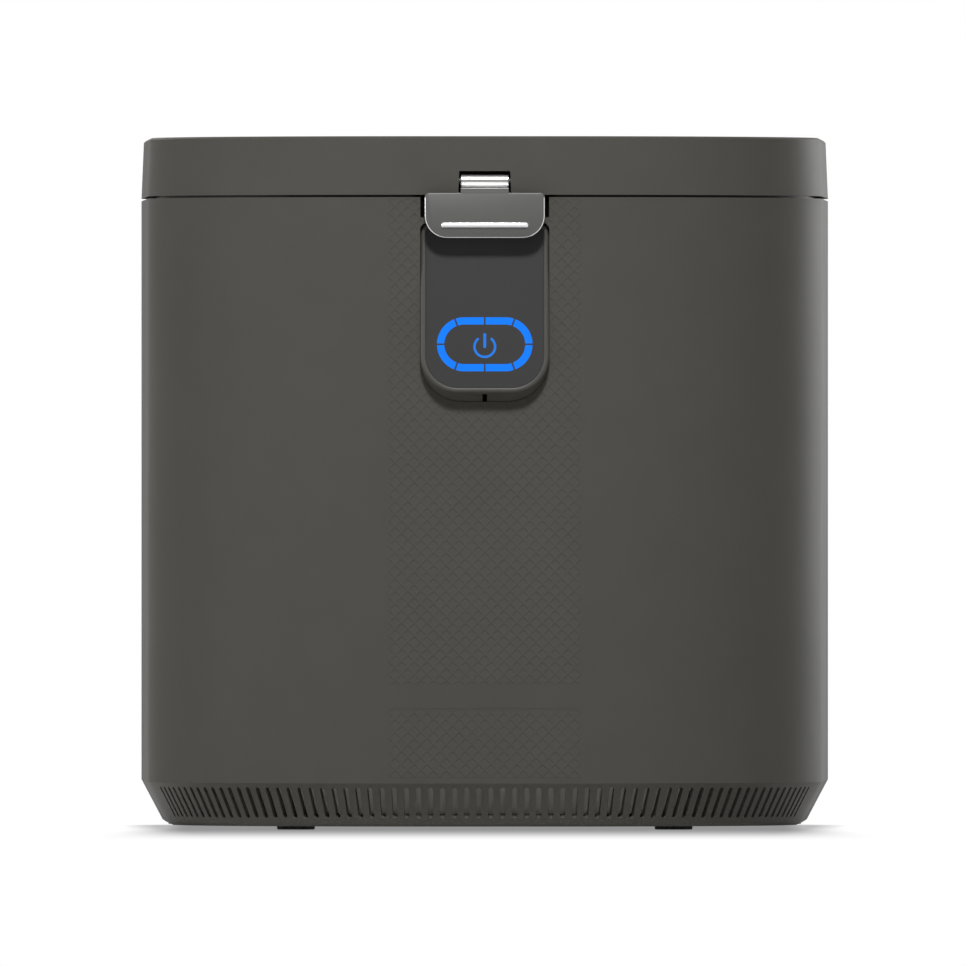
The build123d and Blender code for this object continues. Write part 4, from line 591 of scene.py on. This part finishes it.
def inset_faces(mesh, factor, **chosen):
    """Extrude faces in place and shrink the new ones; returns the mesh and the new faces' selection."""
    tops = add(lattice, "GeometryNodeExtrudeMesh", {"Mesh": mesh, "Offset Scale": 0.0, "Individual": False, **chosen})
    scaled = add(lattice, "GeometryNodeScaleElements", {
        "Geometry": tops, "Selection": tops.outputs["Top"], "Scale": factor})
    return scaled, tops.outputs["Top"]


cell = add(lattice, "GeometryNodeMeshCircle", {"Vertices": 4, "Radius": maths("DIVIDE", start["Pitch"], 2.0)},
           fill_type="NGON")
ribbed, rib_top = inset_faces(cell, start["Rib scale"])
shrunk, floor_top = inset_faces(ribbed, start["Floor scale"], Selection=rib_top)
flat_place = parts_of(lattice, add(lattice, "GeometryNodeInputPosition"))
share = maths("ADD", MIDDLE_SHARE, maths("DIVIDE", flat_place["Y"], start["Pitch"]))
sink = vector(lattice, Z=maths("MULTIPLY", maths("MULTIPLY", share, start["Depth"]), -1.0))
diamond = add(lattice, "GeometryNodeSetPosition", {"Geometry": shrunk, "Selection": floor_top, "Offset": sink})
print("lattice cell ready")

# %% Copies on two grids
middle = maths("SUBTRACT", FIELD_TOP, maths("MULTIPLY", maths("MULTIPLY", start["Row pairs"], 0.5), start["Pitch"]))
centre = vector(lattice, Y=middle)
grids = []
for more_columns, more_rows in ((0.0, 1.0), (1.0, 0.0)):
    columns = maths("ADD", start["Columns"], more_columns)
    rows = maths("ADD", start["Row pairs"], more_rows)
    grid = add(lattice, "GeometryNodeMeshGrid", {
        "Vertices X": columns, "Vertices Y": rows,
        "Size X": maths("MULTIPLY", maths("SUBTRACT", columns, 1.0), start["Pitch"]),
        "Size Y": maths("MULTIPLY", maths("SUBTRACT", rows, 1.0), start["Pitch"])})
    grids.append(moved(lattice, grid, centre))
copies = add(lattice, "GeometryNodeInstanceOnPoints", {"Points": joined(lattice, *grids), "Instance": diamond})
flat_lattice = add(lattice, "GeometryNodeRealizeInstances", {0: copies})
print(len(grids), "grids of cells")

# %% Wrap the lattice round the front
MERGE_WITHIN = 0.002 * MM
SLIVER_AREA = 1e-9

across = maths("MINIMUM", maths("MAXIMUM", flat_place["X"], -FIELD_HALF), FIELD_HALF)
up = maths("MINIMUM", maths("MAXIMUM", flat_place["Y"], start["Low"]), start["High"])
lift = maths("ADD", flat_place["Z"], start["Level"])
along = maths("ABSOLUTE", across)
turn = maths("DIVIDE", maths("MAXIMUM", maths("SUBTRACT", along, FLAT_HALF), 0.0), ARC_RADIUS)
reach = maths("ADD", lift, ARC_RADIUS)
curved_x = maths("ADD", maths("MINIMUM", along, FLAT_HALF), maths("MULTIPLY", reach, maths("SINE", turn)))
curved_y = maths("SUBTRACT", FRONT_Y + ARC_RADIUS, maths("MULTIPLY", reach, maths("COSINE", turn)))
wrapped = vector(lattice, X=maths("MULTIPLY", maths("SIGN", across), curved_x), Y=curved_y, Z=up)
bent = add(lattice, "GeometryNodeSetPosition", {"Geometry": flat_lattice, "Position": wrapped})
merged = add(lattice, "GeometryNodeMergeByDistance", {"Geometry": bent, "Distance": MERGE_WITHIN})
sliver = add(lattice, "FunctionNodeCompare", {0: add(lattice, "GeometryNodeInputMeshFaceArea"), 1: SLIVER_AREA},
             operation="LESS_THAN")
clean = add(lattice, "GeometryNodeDeleteGeometry", {"Geometry": merged, "Selection": sliver}, domain="FACE")
end_tree(lattice, end, clean, finishes["case_body"])
print("lattice wraps on an arc of", round(ARC_RADIUS / MM, 1), "mm")


# %% [markdown]
# ## Lofting through outlines
# The console frame and the flap share one shape idea: a rounded rectangle that changes a little from station to
# station. Each station is a ring of points, all with the same count, and faces join each ring to the next. A ring
# can be drawn on the console's tilted face or on an upright plane.

# %% Outlines
CORNER_STEPS = 10
CONSOLE_TILT = math.radians(7.5)
CONSOLE_Z = 234.0


def on_circle(x, y, radius, degrees):
    """A point on a circle."""
    angle = math.radians(degrees)
    return x + radius * math.cos(angle), y + radius * math.sin(angle)


def rounded_outline(half, low, high, r_low, r_high):
    """Points round a rectangle with two corner radii, from its lower right corner anticlockwise."""
    corners = ((half - r_low, low + r_low, r_low, -90), (half - r_high, high - r_high, r_high, 0),
               (r_high - half, high - r_high, r_high, 90), (r_low - half, low + r_low, r_low, 180))
    return [on_circle(x, y, radius, first + 90 * step / CORNER_STEPS)
            for x, y, radius, first in corners for step in range(CORNER_STEPS + 1)]


def on_console(x, up, out):
    """Millimetres on the console's tilted face, to a place."""
    sine, cosine = math.sin(CONSOLE_TILT), math.cos(CONSOLE_TILT)
    return Vector((x, CASE_FRONT + up * sine - out * cosine, CONSOLE_Z + up * cosine + out * sine)) * MM


def upright_ring(y, *sizes):
    """A rounded outline on an upright plane."""
    return [Vector((x, y, z)) * MM for x, z in rounded_outline(*sizes)]


def across_x(outline, half):
    """Two rings from an outline in (y, z), one at each end of a width along X."""
    return [[Vector((x, y, z)) * MM for y, z in outline] for x in (-half, half)]


print("outline helpers ready")


# %% Lofts
def add_loft(shape, rings, material=0, closed=False):
    """Join rings of equal count with faces; returns them, one list for each pair of rings."""
    made = [[shape.verts.new(point) for point in ring] for ring in rings]
    bands = []
    pairs = list(zip(made, made[1:])) + ([(made[-1], made[0])] if closed else [])
    for lower, upper in pairs:
        band = []
        for number in range(len(lower)):
            after = (number + 1) % len(lower)
            face = shape.faces.new((lower[number], lower[after], upper[after], upper[number]))
            face.material_index = material
            band.append(face)
        bands.append(band)
    if not closed:
        shape.faces.new(list(reversed(made[0]))).material_index = material
        shape.faces.new(made[-1]).material_index = material
    return bands


def shape_mesh(name, shape, *slots):
    """Close the bmesh, with its faces pointing outwards."""
    bmesh.ops.recalc_face_normals(shape, faces=shape.faces)
    mesh = bpy.data.meshes.new(name)
    shape.to_mesh(mesh)
    shape.free()
    for slot in slots:
        mesh.materials.append(finishes[slot])
    return mesh


def loft_mesh(name, rings, *slots, closed=False):
    """A mesh of one loft."""
    shape = bmesh.new()
    add_loft(shape, rings, closed=closed)
    return shape_mesh(name, shape, *slots)


def box_mesh(name, low, high):
    """A block between two corners in millimetres, used as a cutter."""
    ring = [(low[0], low[1]), (high[0], low[1]), (high[0], high[1]), (low[0], high[1])]
    return loft_mesh(name, [[Vector((x, y, z)) * MM for x, y in ring] for z in (low[2], high[2])])


print("loft helpers ready")

# %% [markdown]
# The lattice stops at the console and at the latch's pocket. Each face near a window's border is split along it,
# those inside are deleted, and a Solidify modifier gives the skin its thickness.

# %% Windows in the lattice
CONSOLE_HALF = 26.8
SKIN = 0.05 * MM
ON_LINE = 1e-7
FIELDS = {"front_lattice_high": (60.82, 262.78), "front_lattice_low": (22.02, 50.68)}
WINDOWS = [rounded_outline(CONSOLE_HALF + 0.1, 178.4, 252.95, 17.4, 3.0),
           rounded_outline(CONSOLE_HALF, 255.2, 266.0, 0.05, 0.05)]


def flattened(point):
    """The point, brought to the plane y = 0."""
    return Vector((point.x, 0, point.z))


def cut_window(shape, outline):
    """Split the faces along the outline, given in metres as (x, z), and delete those inside."""
    sides = list(zip(outline, outline[1:] + outline[:1]))
    for (x0, z0), (x1, z1) in sides:
        middle = Vector(((x0 + x1) / 2, 0, (z0 + z1) / 2))
        reach = PITCH + math.hypot(x1 - x0, z1 - z0) / 2
        near = [face for face in shape.faces
                if (flattened(face.calc_center_median()) - middle).length < reach]
        parts = near + list({edge for face in near for edge in face.edges})
        parts += list({corner for face in near for corner in face.verts})
        bmesh.ops.bisect_plane(shape, geom=parts, dist=ON_LINE, plane_co=(x0, 0, z0),
                               plane_no=(z1 - z0, 0, x0 - x1))

    def inside(face):
        spot = face.calc_center_median()
        return all((x1 - x0) * (spot.z - z0) - (z1 - z0) * (spot.x - x0) > 0 for (x0, z0), (x1, z1) in sides)

    bmesh.ops.delete(shape, geom=[face for face in shape.faces if inside(face)], context="FACES")


for name, (low, high) in FIELDS.items():
    mesh = grow(name, lattice, {"Low": low * MM, "High": high * MM})
    shape = bmesh.new()
    shape.from_mesh(mesh)
    for window in WINDOWS:
        if high > window[0][1]:
            cut_window(shape, [(x * MM, z * MM) for x, z in window])
    shape.to_mesh(mesh)
    shape.free()
    worker = new_object(name + "_worker", mesh)
    skin = worker.modifiers.new("skin", "SOLIDIFY")
    skin.thickness, skin.offset = SKIN, -1.0
    settle(name, finished_mesh(worker), "base", "case_body")

# %% [markdown]
# ## The console frame
# The frame round the touch panel is a soft bead that falls away to a sloped foot. The rings run from the ledge
# under the window, up the inner wall, over the bead, down the slope, behind the case's wall to a flange, and back
# to the start, so the frame is one closed band. A small slot is then cut out of its foot.

# %% Console frame
BEAD = ((-4.25, -1.9), (-2.25, -1.9), (-2.25, -0.5), (-2.12, -0.16), (-1.8, -0.02), (-1.4, 0.0), (-1.0, -0.07),
        (-0.65, -0.26), (-0.32, -0.62), (0.0, -1.2))
PANEL_LOW, PANEL_HIGH, PANEL_R_LOW, PANEL_R_HIGH, LEAST_R = -52.5, 19.0, 15.7, 3.0, 1.5
FOOT = (CONSOLE_HALF, 177.34, 252.84, 17.8, PANEL_R_HIGH)
FLANGE = (CONSOLE_HALF + 1.8, 175.15, 252.84, 19.6, PANEL_R_HIGH)
WALL_BACK_Y = -151.4
FRAME_BACK_Y = -149.0
BEHIND_BEAD = 0.05 * MM
FOOT_SLOT = ((-0.95, -163.0, 177.85), (0.95, -152.7, 181.65))


def tilted_ring(more, out):
    """The frame's outline on the console's face, grown or shrunk, at a height over it."""
    outline = rounded_outline(CONSOLE_HALF + more, PANEL_LOW - more, PANEL_HIGH + more, PANEL_R_LOW + more,
                              max(PANEL_R_HIGH + more, LEAST_R))
    return [on_console(x, up, out) for x, up in outline]


rings = [tilted_ring(more, out) for more, out in BEAD]
foot = upright_ring(WALL_BACK_Y, *FOOT)
flange = upright_ring(WALL_BACK_Y, *FLANGE)
for front_point, foot_point, flange_point in zip(rings[-1], foot, flange):
    foot_point.y = flange_point.y = max(foot_point.y, front_point.y + BEHIND_BEAD)
inner_back = [Vector((point.x, FRAME_BACK_Y * MM, point.z)) for point in rings[0]]
rings += [foot, flange, upright_ring(FRAME_BACK_Y, *FLANGE), inner_back]

worker = new_object("console_frame_worker", loft_mesh("console_frame", rings, "console_frame", closed=True))
cutter = new_object("foot_slot", box_mesh("foot_slot", *FOOT_SLOT))
cut = worker.modifiers.new("slot", "BOOLEAN")
cut.object, cut.operation, cut.solver = cutter, "DIFFERENCE", "EXACT"
mesh = finished_mesh(worker)
bpy.data.objects.remove(cutter)
settle("console_rim", mesh, "base", "console_frame", "console_bezel", sharp=40)

# %% [markdown]
# The little slot in the frame's foot looks black because a near-black, matt rubber wedge lies a little below its
# mouth: a dark piece that stands in for the shade inside the slot, so the slot's black is painted shade.

# %% Slot shade wedge
# The wedge is a dark piece that stands in for the shade inside the slot: painted shade.
SHADE_WEDGE, SHADE_WEDGE_HALF = [(-158.9, 181.62), (-152.8, 178.5), (-152.8, 181.62)], 0.94
settle("foot_slot_shade_wedge", loft_mesh("foot_slot_shade_wedge", across_x(SHADE_WEDGE, SHADE_WEDGE_HALF), "slot_painted_shade_rubber"), "base",
       "seal_rubber")

# %% [markdown]
# ## The latch flap
# The flap is a satin plate with a thin bevel all round, a tab that cradles the barrel above it and a
# claw behind. The plate is a loft whose last bands roll over the edge; below the top corners those bands get the
# bright finish. The tab and the claw are side outlines given a width, and the tab's top has a softer polish than
# the bevel.

# %% Latch flap
FLAP_HALF, FLAP_LOW, FLAP_HIGH, FLAP_R_LOW, FLAP_R_HIGH = 25.0, 246.5, 265.4, 9.3, 2.0
FLAP_EDGE = ((-0.25, -157.0), (0.0, -157.25), (0.0, -159.5), (-0.1, -159.78), (-0.24, -159.93), (-0.42, -160.0))
BEVEL_FROM = 2
BARREL_Y, BARREL_Z, BARREL_R, BARREL_HALF = -151.0, 270.4, 2.65, 9.95
CRADLE_R, CRADLE_FROM, CRADLE_STEP, CRADLE_STEPS = 2.7, -90, 15, 9
TAB_FRONT = [(-157.0, 264.2), (-159.985, 264.2), (-159.985, 265.4), (-158.0, 267.15), (BARREL_Y, 267.45)]
TAB_BACK = [(-146.75, 271.7), (-146.75, 265.45), (-157.0, 265.45)]
CLAW, CLAW_HALF = [(-157.5, 256.8), (-151.0, 256.8), (-151.0, 258.8), (-157.5, 258.8)], 9.0
TAB_TOP_Y, TAB_TOP_Z = -158.0, 267.2

shape = bmesh.new()
rings = []
for inset, y in FLAP_EDGE:
    rings.append(upright_ring(y, FLAP_HALF + inset, FLAP_LOW - inset, FLAP_HIGH + inset, FLAP_R_LOW + inset,
                              FLAP_R_HIGH + inset))
for band in add_loft(shape, rings)[BEVEL_FROM:]:
    for face in band:
        if face.calc_center_median().z < (FLAP_HIGH - FLAP_R_HIGH) * MM:
            face.material_index = 1
cradle = [on_circle(BARREL_Y, BARREL_Z, CRADLE_R, CRADLE_FROM + CRADLE_STEP * step) for step in range(CRADLE_STEPS)]
add_loft(shape, across_x(TAB_FRONT + cradle + TAB_BACK, BARREL_HALF))
add_loft(shape, across_x(CLAW, CLAW_HALF))
for face in shape.faces:
    middle = face.calc_center_median() / MM
    if TAB_TOP_Y < middle.y < BARREL_Y and middle.z > TAB_TOP_Z:
        face.material_index = 2
mesh = shape_mesh("flap_plate", shape, "flap_metal", "latch_chrome", "barrel_land")
settle("flap_plate", mesh, "latch", "flap_metal", "latch_flap", sharp=32)

# %% [markdown]
# The grip on the flap is a half-round chrome bead with round ends: outlines that shrink as they rise. The barrel
# is rolled from plate. Two shallow grooves run along it, and a darker satin finish in them paints dark bands into
# its shine: painted reflection. Its lower half has the softer polish of the tab's top.

# %% Grip bead
GRIP_HALF, GRIP_LOW, GRIP_HIGH = 18.3, 250.65, 253.15
GRIP_FOOT_Y, GRIP_RISE, GRIP_TURN, GRIP_RINGS = -159.95, 1.04, 88, 8

rings = []
for step in range(GRIP_RINGS):
    angle = math.radians(GRIP_TURN * step / (GRIP_RINGS - 1))
    radius = (GRIP_HIGH - GRIP_LOW) / 2 * math.cos(angle)
    inset = (GRIP_HIGH - GRIP_LOW) / 2 - radius
    rings.append(upright_ring(GRIP_FOOT_Y - GRIP_RISE * math.sin(angle), GRIP_HALF - inset, GRIP_LOW + inset,
                              GRIP_HIGH - inset, radius, radius))
settle("grip_bead", loft_mesh("grip_bead", rings, "latch_chrome"), "latch", "latch_chrome", "latch_grip_rib",
       sharp=60)

# %% Rolled barrel
GROOVES = ((-0.05, 0.62), (-2.1, 0.22))
GROOVE_DEPTH = 0.1
BARREL_STEPS = 160
BARREL_ENDS = ((-1, 0.25), (-0.98, 0.0), (0.98, 0.0), (1, 0.25))
LAND_BELOW = -0.2


def groove_share(angle):
    """How deep the barrel's groove is at an angle, from 0 on a land to 1 in the middle of a groove."""
    up = BARREL_R * math.sin(angle)
    for middle, half in GROOVES:
        if math.cos(angle) < 0 and abs(up - middle) < half:
            return math.cos(math.pi / 2 * (up - middle) / half) ** 2
    return 0.0


shape = bmesh.new()
turns = [2 * math.pi * step / BARREL_STEPS for step in range(BARREL_STEPS)]
rings = []
for x, shrink in BARREL_ENDS:
    radii = [BARREL_R - shrink - GROOVE_DEPTH * groove_share(angle) for angle in turns]
    rings.append([Vector((x * BARREL_HALF, BARREL_Y + radius * math.cos(angle), BARREL_Z + radius * math.sin(angle)))
                  * MM for radius, angle in zip(radii, turns)])
for band in add_loft(shape, rings):
    for face, angle in zip(band, turns):
        # Groove faces take the darker finish: painted dark bands in the barrel's shine.
        if groove_share(angle) > 0:
            face.material_index = 1
        elif math.sin(angle) < LAND_BELOW:
            face.material_index = 2
mesh = shape_mesh("rolled_barrel", shape, "latch_chrome", "barrel_painted_dark_band", "barrel_land")
settle("rolled_barrel", mesh, "latch", "latch_chrome", "latch_barrel", sharp=50)

# %% [markdown]
# The return spring sits beside the barrel in a bay in the lid. A thin cap with the case's finish closes the bay
# towards the front, flush with the lid's sloping face.

# %% Spring bay cap
LID_LOW, LID_SLOPE, PROUD = 264.6, 1.0 / 23.6, 0.01
CAP_LOW, CAP_HIGH, CAP_LEFT, CAP_RIGHT, CAP_THICK = 268.3, 272.5, 10.86, 14.7, 0.3
CAP_LEAN = 0.06


def lid_front(z):
    """Place of the lid's front face at a height."""
    return CASE_FRONT + (z - LID_LOW) * LID_SLOPE - PROUD


corners = [(CAP_LEFT, CAP_LOW), (CAP_RIGHT, CAP_LOW), (CAP_RIGHT, CAP_HIGH), (CAP_LEFT - CAP_LEAN, CAP_HIGH)]
rings = [[Vector((x, lid_front(z) + depth, z)) * MM for x, z in corners] for depth in (CAP_THICK, 0.0)]
settle("spring_bay_cap", loft_mesh("spring_bay_cap", rings, "case_body"), "lid", "case_body")

# %% [markdown]
# ## Behind the vents
# A strip of grey fleece behind the skirt's slots keeps fluff out of the case. It follows the curve of the front at
# the skirt's slope, like the wall before it.

# %% Vent fleece
FLEECE_LOW, FLEECE_HIGH, FLEECE_THICK = 4.4, 18.6, 0.5
SKIRT_TOP, SKIRT_WALL, SKIRT_INSET, SKIRT_RISE = 19.5, 2.75, 9.5, 15.5
FLEECE_TURN = 80
FLEECE_STEPS = 40


def fleece_line(z, more=0.0):
    """Points along the curved front from left to right, inside the skirt's wall at a height."""
    inset = SKIRT_WALL + SKIRT_INSET * (SKIRT_TOP - z) / SKIRT_RISE + more
    radius = ARC_RADIUS / MM - inset
    line = []
    for side in (-1, 1):
        arc = []
        for step in range(FLEECE_STEPS + 1):
            turn = math.radians(FLEECE_TURN * step / FLEECE_STEPS)
            arc.append(Vector((side * (FLAT_HALF / MM + radius * math.sin(turn)),
                               FRONT_Y / MM + ARC_RADIUS / MM - radius * math.cos(turn), z)) * MM)
        line += reversed(arc) if side < 0 else arc
    return line


lines = [fleece_line(FLEECE_LOW), fleece_line(FLEECE_HIGH), fleece_line(FLEECE_HIGH, FLEECE_THICK),
         fleece_line(FLEECE_LOW, FLEECE_THICK)]
mesh = loft_mesh("vent_fleece", [list(ring) for ring in zip(*lines)], "vent_fleece")
settle("vent_fleece", mesh, "base", "inner_plastic", sharp=40)

# %% [markdown]
# ## Screws
# CAD screws are bare mushrooms. The real ones have a cross recess and a tapered pan head. One head and one unit
# shank are made in the tree, then copied to a list of points. Two attributes on the points say which way a shank
# runs and how long it is, so the same tree makes the case's screws and the lid's.

# %% Screw tree
HEAD_SIDES, SHANK_SIDES, HEAD_TAPER, RECESS_DROP = 24, 16, 0.8, -1.1

screws, start, end = geometry_tree("cross_head_screws", [
    ("Head radius", "Float", 2.8 * MM), ("Head height", "Float", 1.8 * MM), ("Shank radius", "Float", 1.5 * MM),
    ("Recess", "Float", 3.3 * MM), ("Blade", "Float", 0.65 * MM)], takes_mesh=True)
head = add(screws, "GeometryNodeMeshCone", {
    "Vertices": HEAD_SIDES, "Radius Top": start["Head radius"], "Depth": start["Head height"],
    "Radius Bottom": math_node(screws, "MULTIPLY", start["Head radius"], HEAD_TAPER)})
head = moved(screws, head, vector(screws, Z=math_node(screws, "MULTIPLY", start["Head height"], -1.0)))
cross = add(screws, "GeometryNodeMeshBoolean", {"Mesh 1": head}, operation="DIFFERENCE")
drop = vector(screws, Z=math_node(screws, "MULTIPLY", start["Head height"], RECESS_DROP))
for wide, narrow in (("X", "Y"), ("Y", "X")):
    size = vector(screws, **{wide: start["Recess"], narrow: start["Blade"], "Z": start["Head height"]})
    link(screws, moved(screws, add(screws, "GeometryNodeMeshCube", {"Size": size}), drop), cross.inputs["Mesh 2"])
shank = add(screws, "GeometryNodeMeshCylinder", {"Vertices": SHANK_SIDES, "Radius": start["Shank radius"],
                                                 "Depth": 1.0})
shank = moved(screws, shank, (0, 0, 0.5))
axis = add(screws, "GeometryNodeInputNamedAttribute", {"Name": "axis"}, data_type="FLOAT_VECTOR")
length = add(screws, "GeometryNodeInputNamedAttribute", {"Name": "length"}, data_type="FLOAT")
turned = add(screws, "FunctionNodeAlignRotationToVector", {"Vector": axis}, axis="Z")
heads = add(screws, "GeometryNodeInstanceOnPoints", {
    "Points": start["Geometry"], "Instance": cross, "Rotation": turned})
shanks = add(screws, "GeometryNodeInstanceOnPoints", {
    "Points": start["Geometry"], "Instance": shank, "Rotation": turned,
    "Scale": vector(screws, X=1.0, Y=1.0, Z=length)})
end_tree(screws, end, joined(screws, heads, shanks), finishes["screw_steel"])
print("screw tree ready")

# %% Place the screws
DOWN, UP, INWARD = (0, 0, -1), (0, 0, 1), (0, -1, 0)
CASE_SCREWS = [((x, y, 3.3), UP, 30.0) for x in (-130.4, 130.4) for y in (-3.0, 114.0)]
CASE_SCREWS += [((x, y, 58.5), DOWN, 14.0) for x in (-52.0, 52.0) for y in (-55.0, 41.0)]
CASE_SCREWS += [((side * x, y, 260.2), DOWN, 4.2) for side in (-1, 1)
                for x, y in ((118.0, -33.0), (118.0, 108.0), (40.0, 150.8))]
CASE_SCREWS += [((x, 154.2, z), INWARD, 5.8) for x in (-90.0, 90.0) for z in (38.5, 134.55, 230.6)]
LID_SCREWS = [((side * x, y, 266.1), UP, 10.0) for side in (-1, 1)
              for x, y in ((62.0, -130.0), (128.0, -4.0), (112.0, 130.0))]


def screw_points(name, places):
    """Points that carry a direction and a length."""
    mesh = bpy.data.meshes.new(name)
    mesh.from_pydata([Vector(place) * MM for place, _, _ in places], [], [])
    mesh.attributes.new("axis", "FLOAT_VECTOR", "POINT")
    mesh.attributes.new("length", "FLOAT", "POINT")
    axes, lengths = mesh.attributes["axis"], mesh.attributes["length"]
    for number, (_, direction, shank_length) in enumerate(places):
        axes.data[number].vector = direction
        lengths.data[number].value = shank_length * MM
    return mesh


for name, places, body, node in (("case_fasteners", CASE_SCREWS, "base", "case_screws"),
                                 ("lid_fasteners", LID_SCREWS, "lid", "lid_screws")):
    settle(name, grow(name, screws, base=screw_points(name, places)), body, "screw_steel", node, sharp=35)

# %% [markdown]
# ## The handle's grip and the carbon
# The bucket's handle has a rubbery sleeve with finger ribs: a swept circle whose radius rises and falls along
# the arc. The filter holds loose carbon: a block covered with rough grains, scattered with a fixed seed.

# %% Grip sleeve
SLEEVE_CENTRE = (0.0, -33.0 * MM, 251.5 * MM)
SLEEVE_START, SLEEVE_SWEEP = math.radians(246), math.radians(48)
SLEEVE_STEPS, SLEEVE_SIDES, RIB_SHARPNESS = 96, 20, 3.0

sleeve, start, end = geometry_tree("ribbed_sleeve", [
    ("Arc radius", "Float", 91.5 * MM), ("Thickness", "Float", 4.4 * MM), ("Ribs", "Float", 15.0),
    ("Rib depth", "Float", 0.14)])
arc = add(sleeve, "GeometryNodeCurveArc", {"Resolution": SLEEVE_STEPS, "Radius": start["Arc radius"],
                                           "Start Angle": SLEEVE_START, "Sweep Angle": SLEEVE_SWEEP})
factor = add(sleeve, "GeometryNodeSplineParameter").outputs["Factor"]
wave = math_node(sleeve, "MULTIPLY", math_node(sleeve, "MULTIPLY", factor, start["Ribs"]), 2 * math.pi)
crest = math_node(sleeve, "MULTIPLY", math_node(sleeve, "ADD", math_node(sleeve, "COSINE", wave), 1.0), 0.5)
dip = math_node(sleeve, "MULTIPLY", math_node(sleeve, "POWER", crest, RIB_SHARPNESS), start["Rib depth"])
profile = add(sleeve, "GeometryNodeCurvePrimitiveCircle", {"Resolution": SLEEVE_SIDES, "Radius": start["Thickness"]})
swept = add(sleeve, "GeometryNodeCurveToMesh", {
    "Curve": moved(sleeve, arc, SLEEVE_CENTRE), "Profile Curve": profile,
    "Scale": math_node(sleeve, "SUBTRACT", 1.0, dip), "Fill Caps": True})
end_tree(sleeve, end, swept, finishes["grip_plastic"])
settle("grip_sleeve", grow("grip_sleeve", sleeve), "bail", "grip_plastic", "bail_grip", sharp=50)

# %% Carbon grains
low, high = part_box("filter_carbon")
GRAIN = 1.1 * MM
UPWARD = 0.5
FULL_TURN = (6.28, 6.28, 6.28)

bed, start, end = geometry_tree("carbon_bed", [
    ("Size", "Vector", (0.1, 0.1, 0.1)), ("Centre", "Vector", (0, 0, 0)), ("Grain", "Float", GRAIN),
    ("Density", "Float", 160000.0), ("Seed", "Int", 7)])


def random_vector(least, most):
    """A vector that differs from grain to grain."""
    return add(bed, "FunctionNodeRandomValue", {"Min": least, "Max": most, "Seed": start["Seed"]},
               data_type="FLOAT_VECTOR")


block = moved(bed, add(bed, "GeometryNodeMeshCube", {"Size": start["Size"]}), start["Centre"])
up_face = parts_of(bed, add(bed, "GeometryNodeInputNormal"))["Z"]
on_top = add(bed, "FunctionNodeCompare", {0: up_face, 1: UPWARD}, operation="GREATER_THAN")
strewn = add(bed, "GeometryNodeDistributePointsOnFaces", {
    "Mesh": block, "Selection": on_top, "Density": start["Density"], "Seed": start["Seed"]})
grain = add(bed, "GeometryNodeMeshIcoSphere", {"Radius": start["Grain"], "Subdivisions": 1})
grains = add(bed, "GeometryNodeInstanceOnPoints", {
    "Points": strewn, "Instance": grain, "Rotation": random_vector((0, 0, 0), FULL_TURN),
    "Scale": random_vector((0.5, 0.5, 0.4), (1.0, 1.0, 0.8))})
end_tree(bed, end, joined(bed, block, grains), finishes["carbon"])
high.z -= GRAIN
mesh = grow("carbon_bed", bed, {"Size": high - low, "Centre": (low + high) / 2})
settle("carbon_bed", mesh, "filter", "carbon", "filter_carbon")

# %% [markdown]
# ## Dress the solids
# Every solid from CAD keeps its shape and takes the finish of its slot. The slot's name came in as the name of
# its first plain material. The latch's pin alone gets another finish, a darker steel than its slot's, so that its
# ends in the gap beside the barrel stay dark: painted shade.

# %% Finishes on the solids
for name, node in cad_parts.items():
    slot = node.material_slots[0].material.name.split(".")[0]
    for place in node.material_slots:
        place.material = finishes["pin_painted_shade_steel" if name == "latch_pin" else slot]
print(len(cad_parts), "solids dressed")
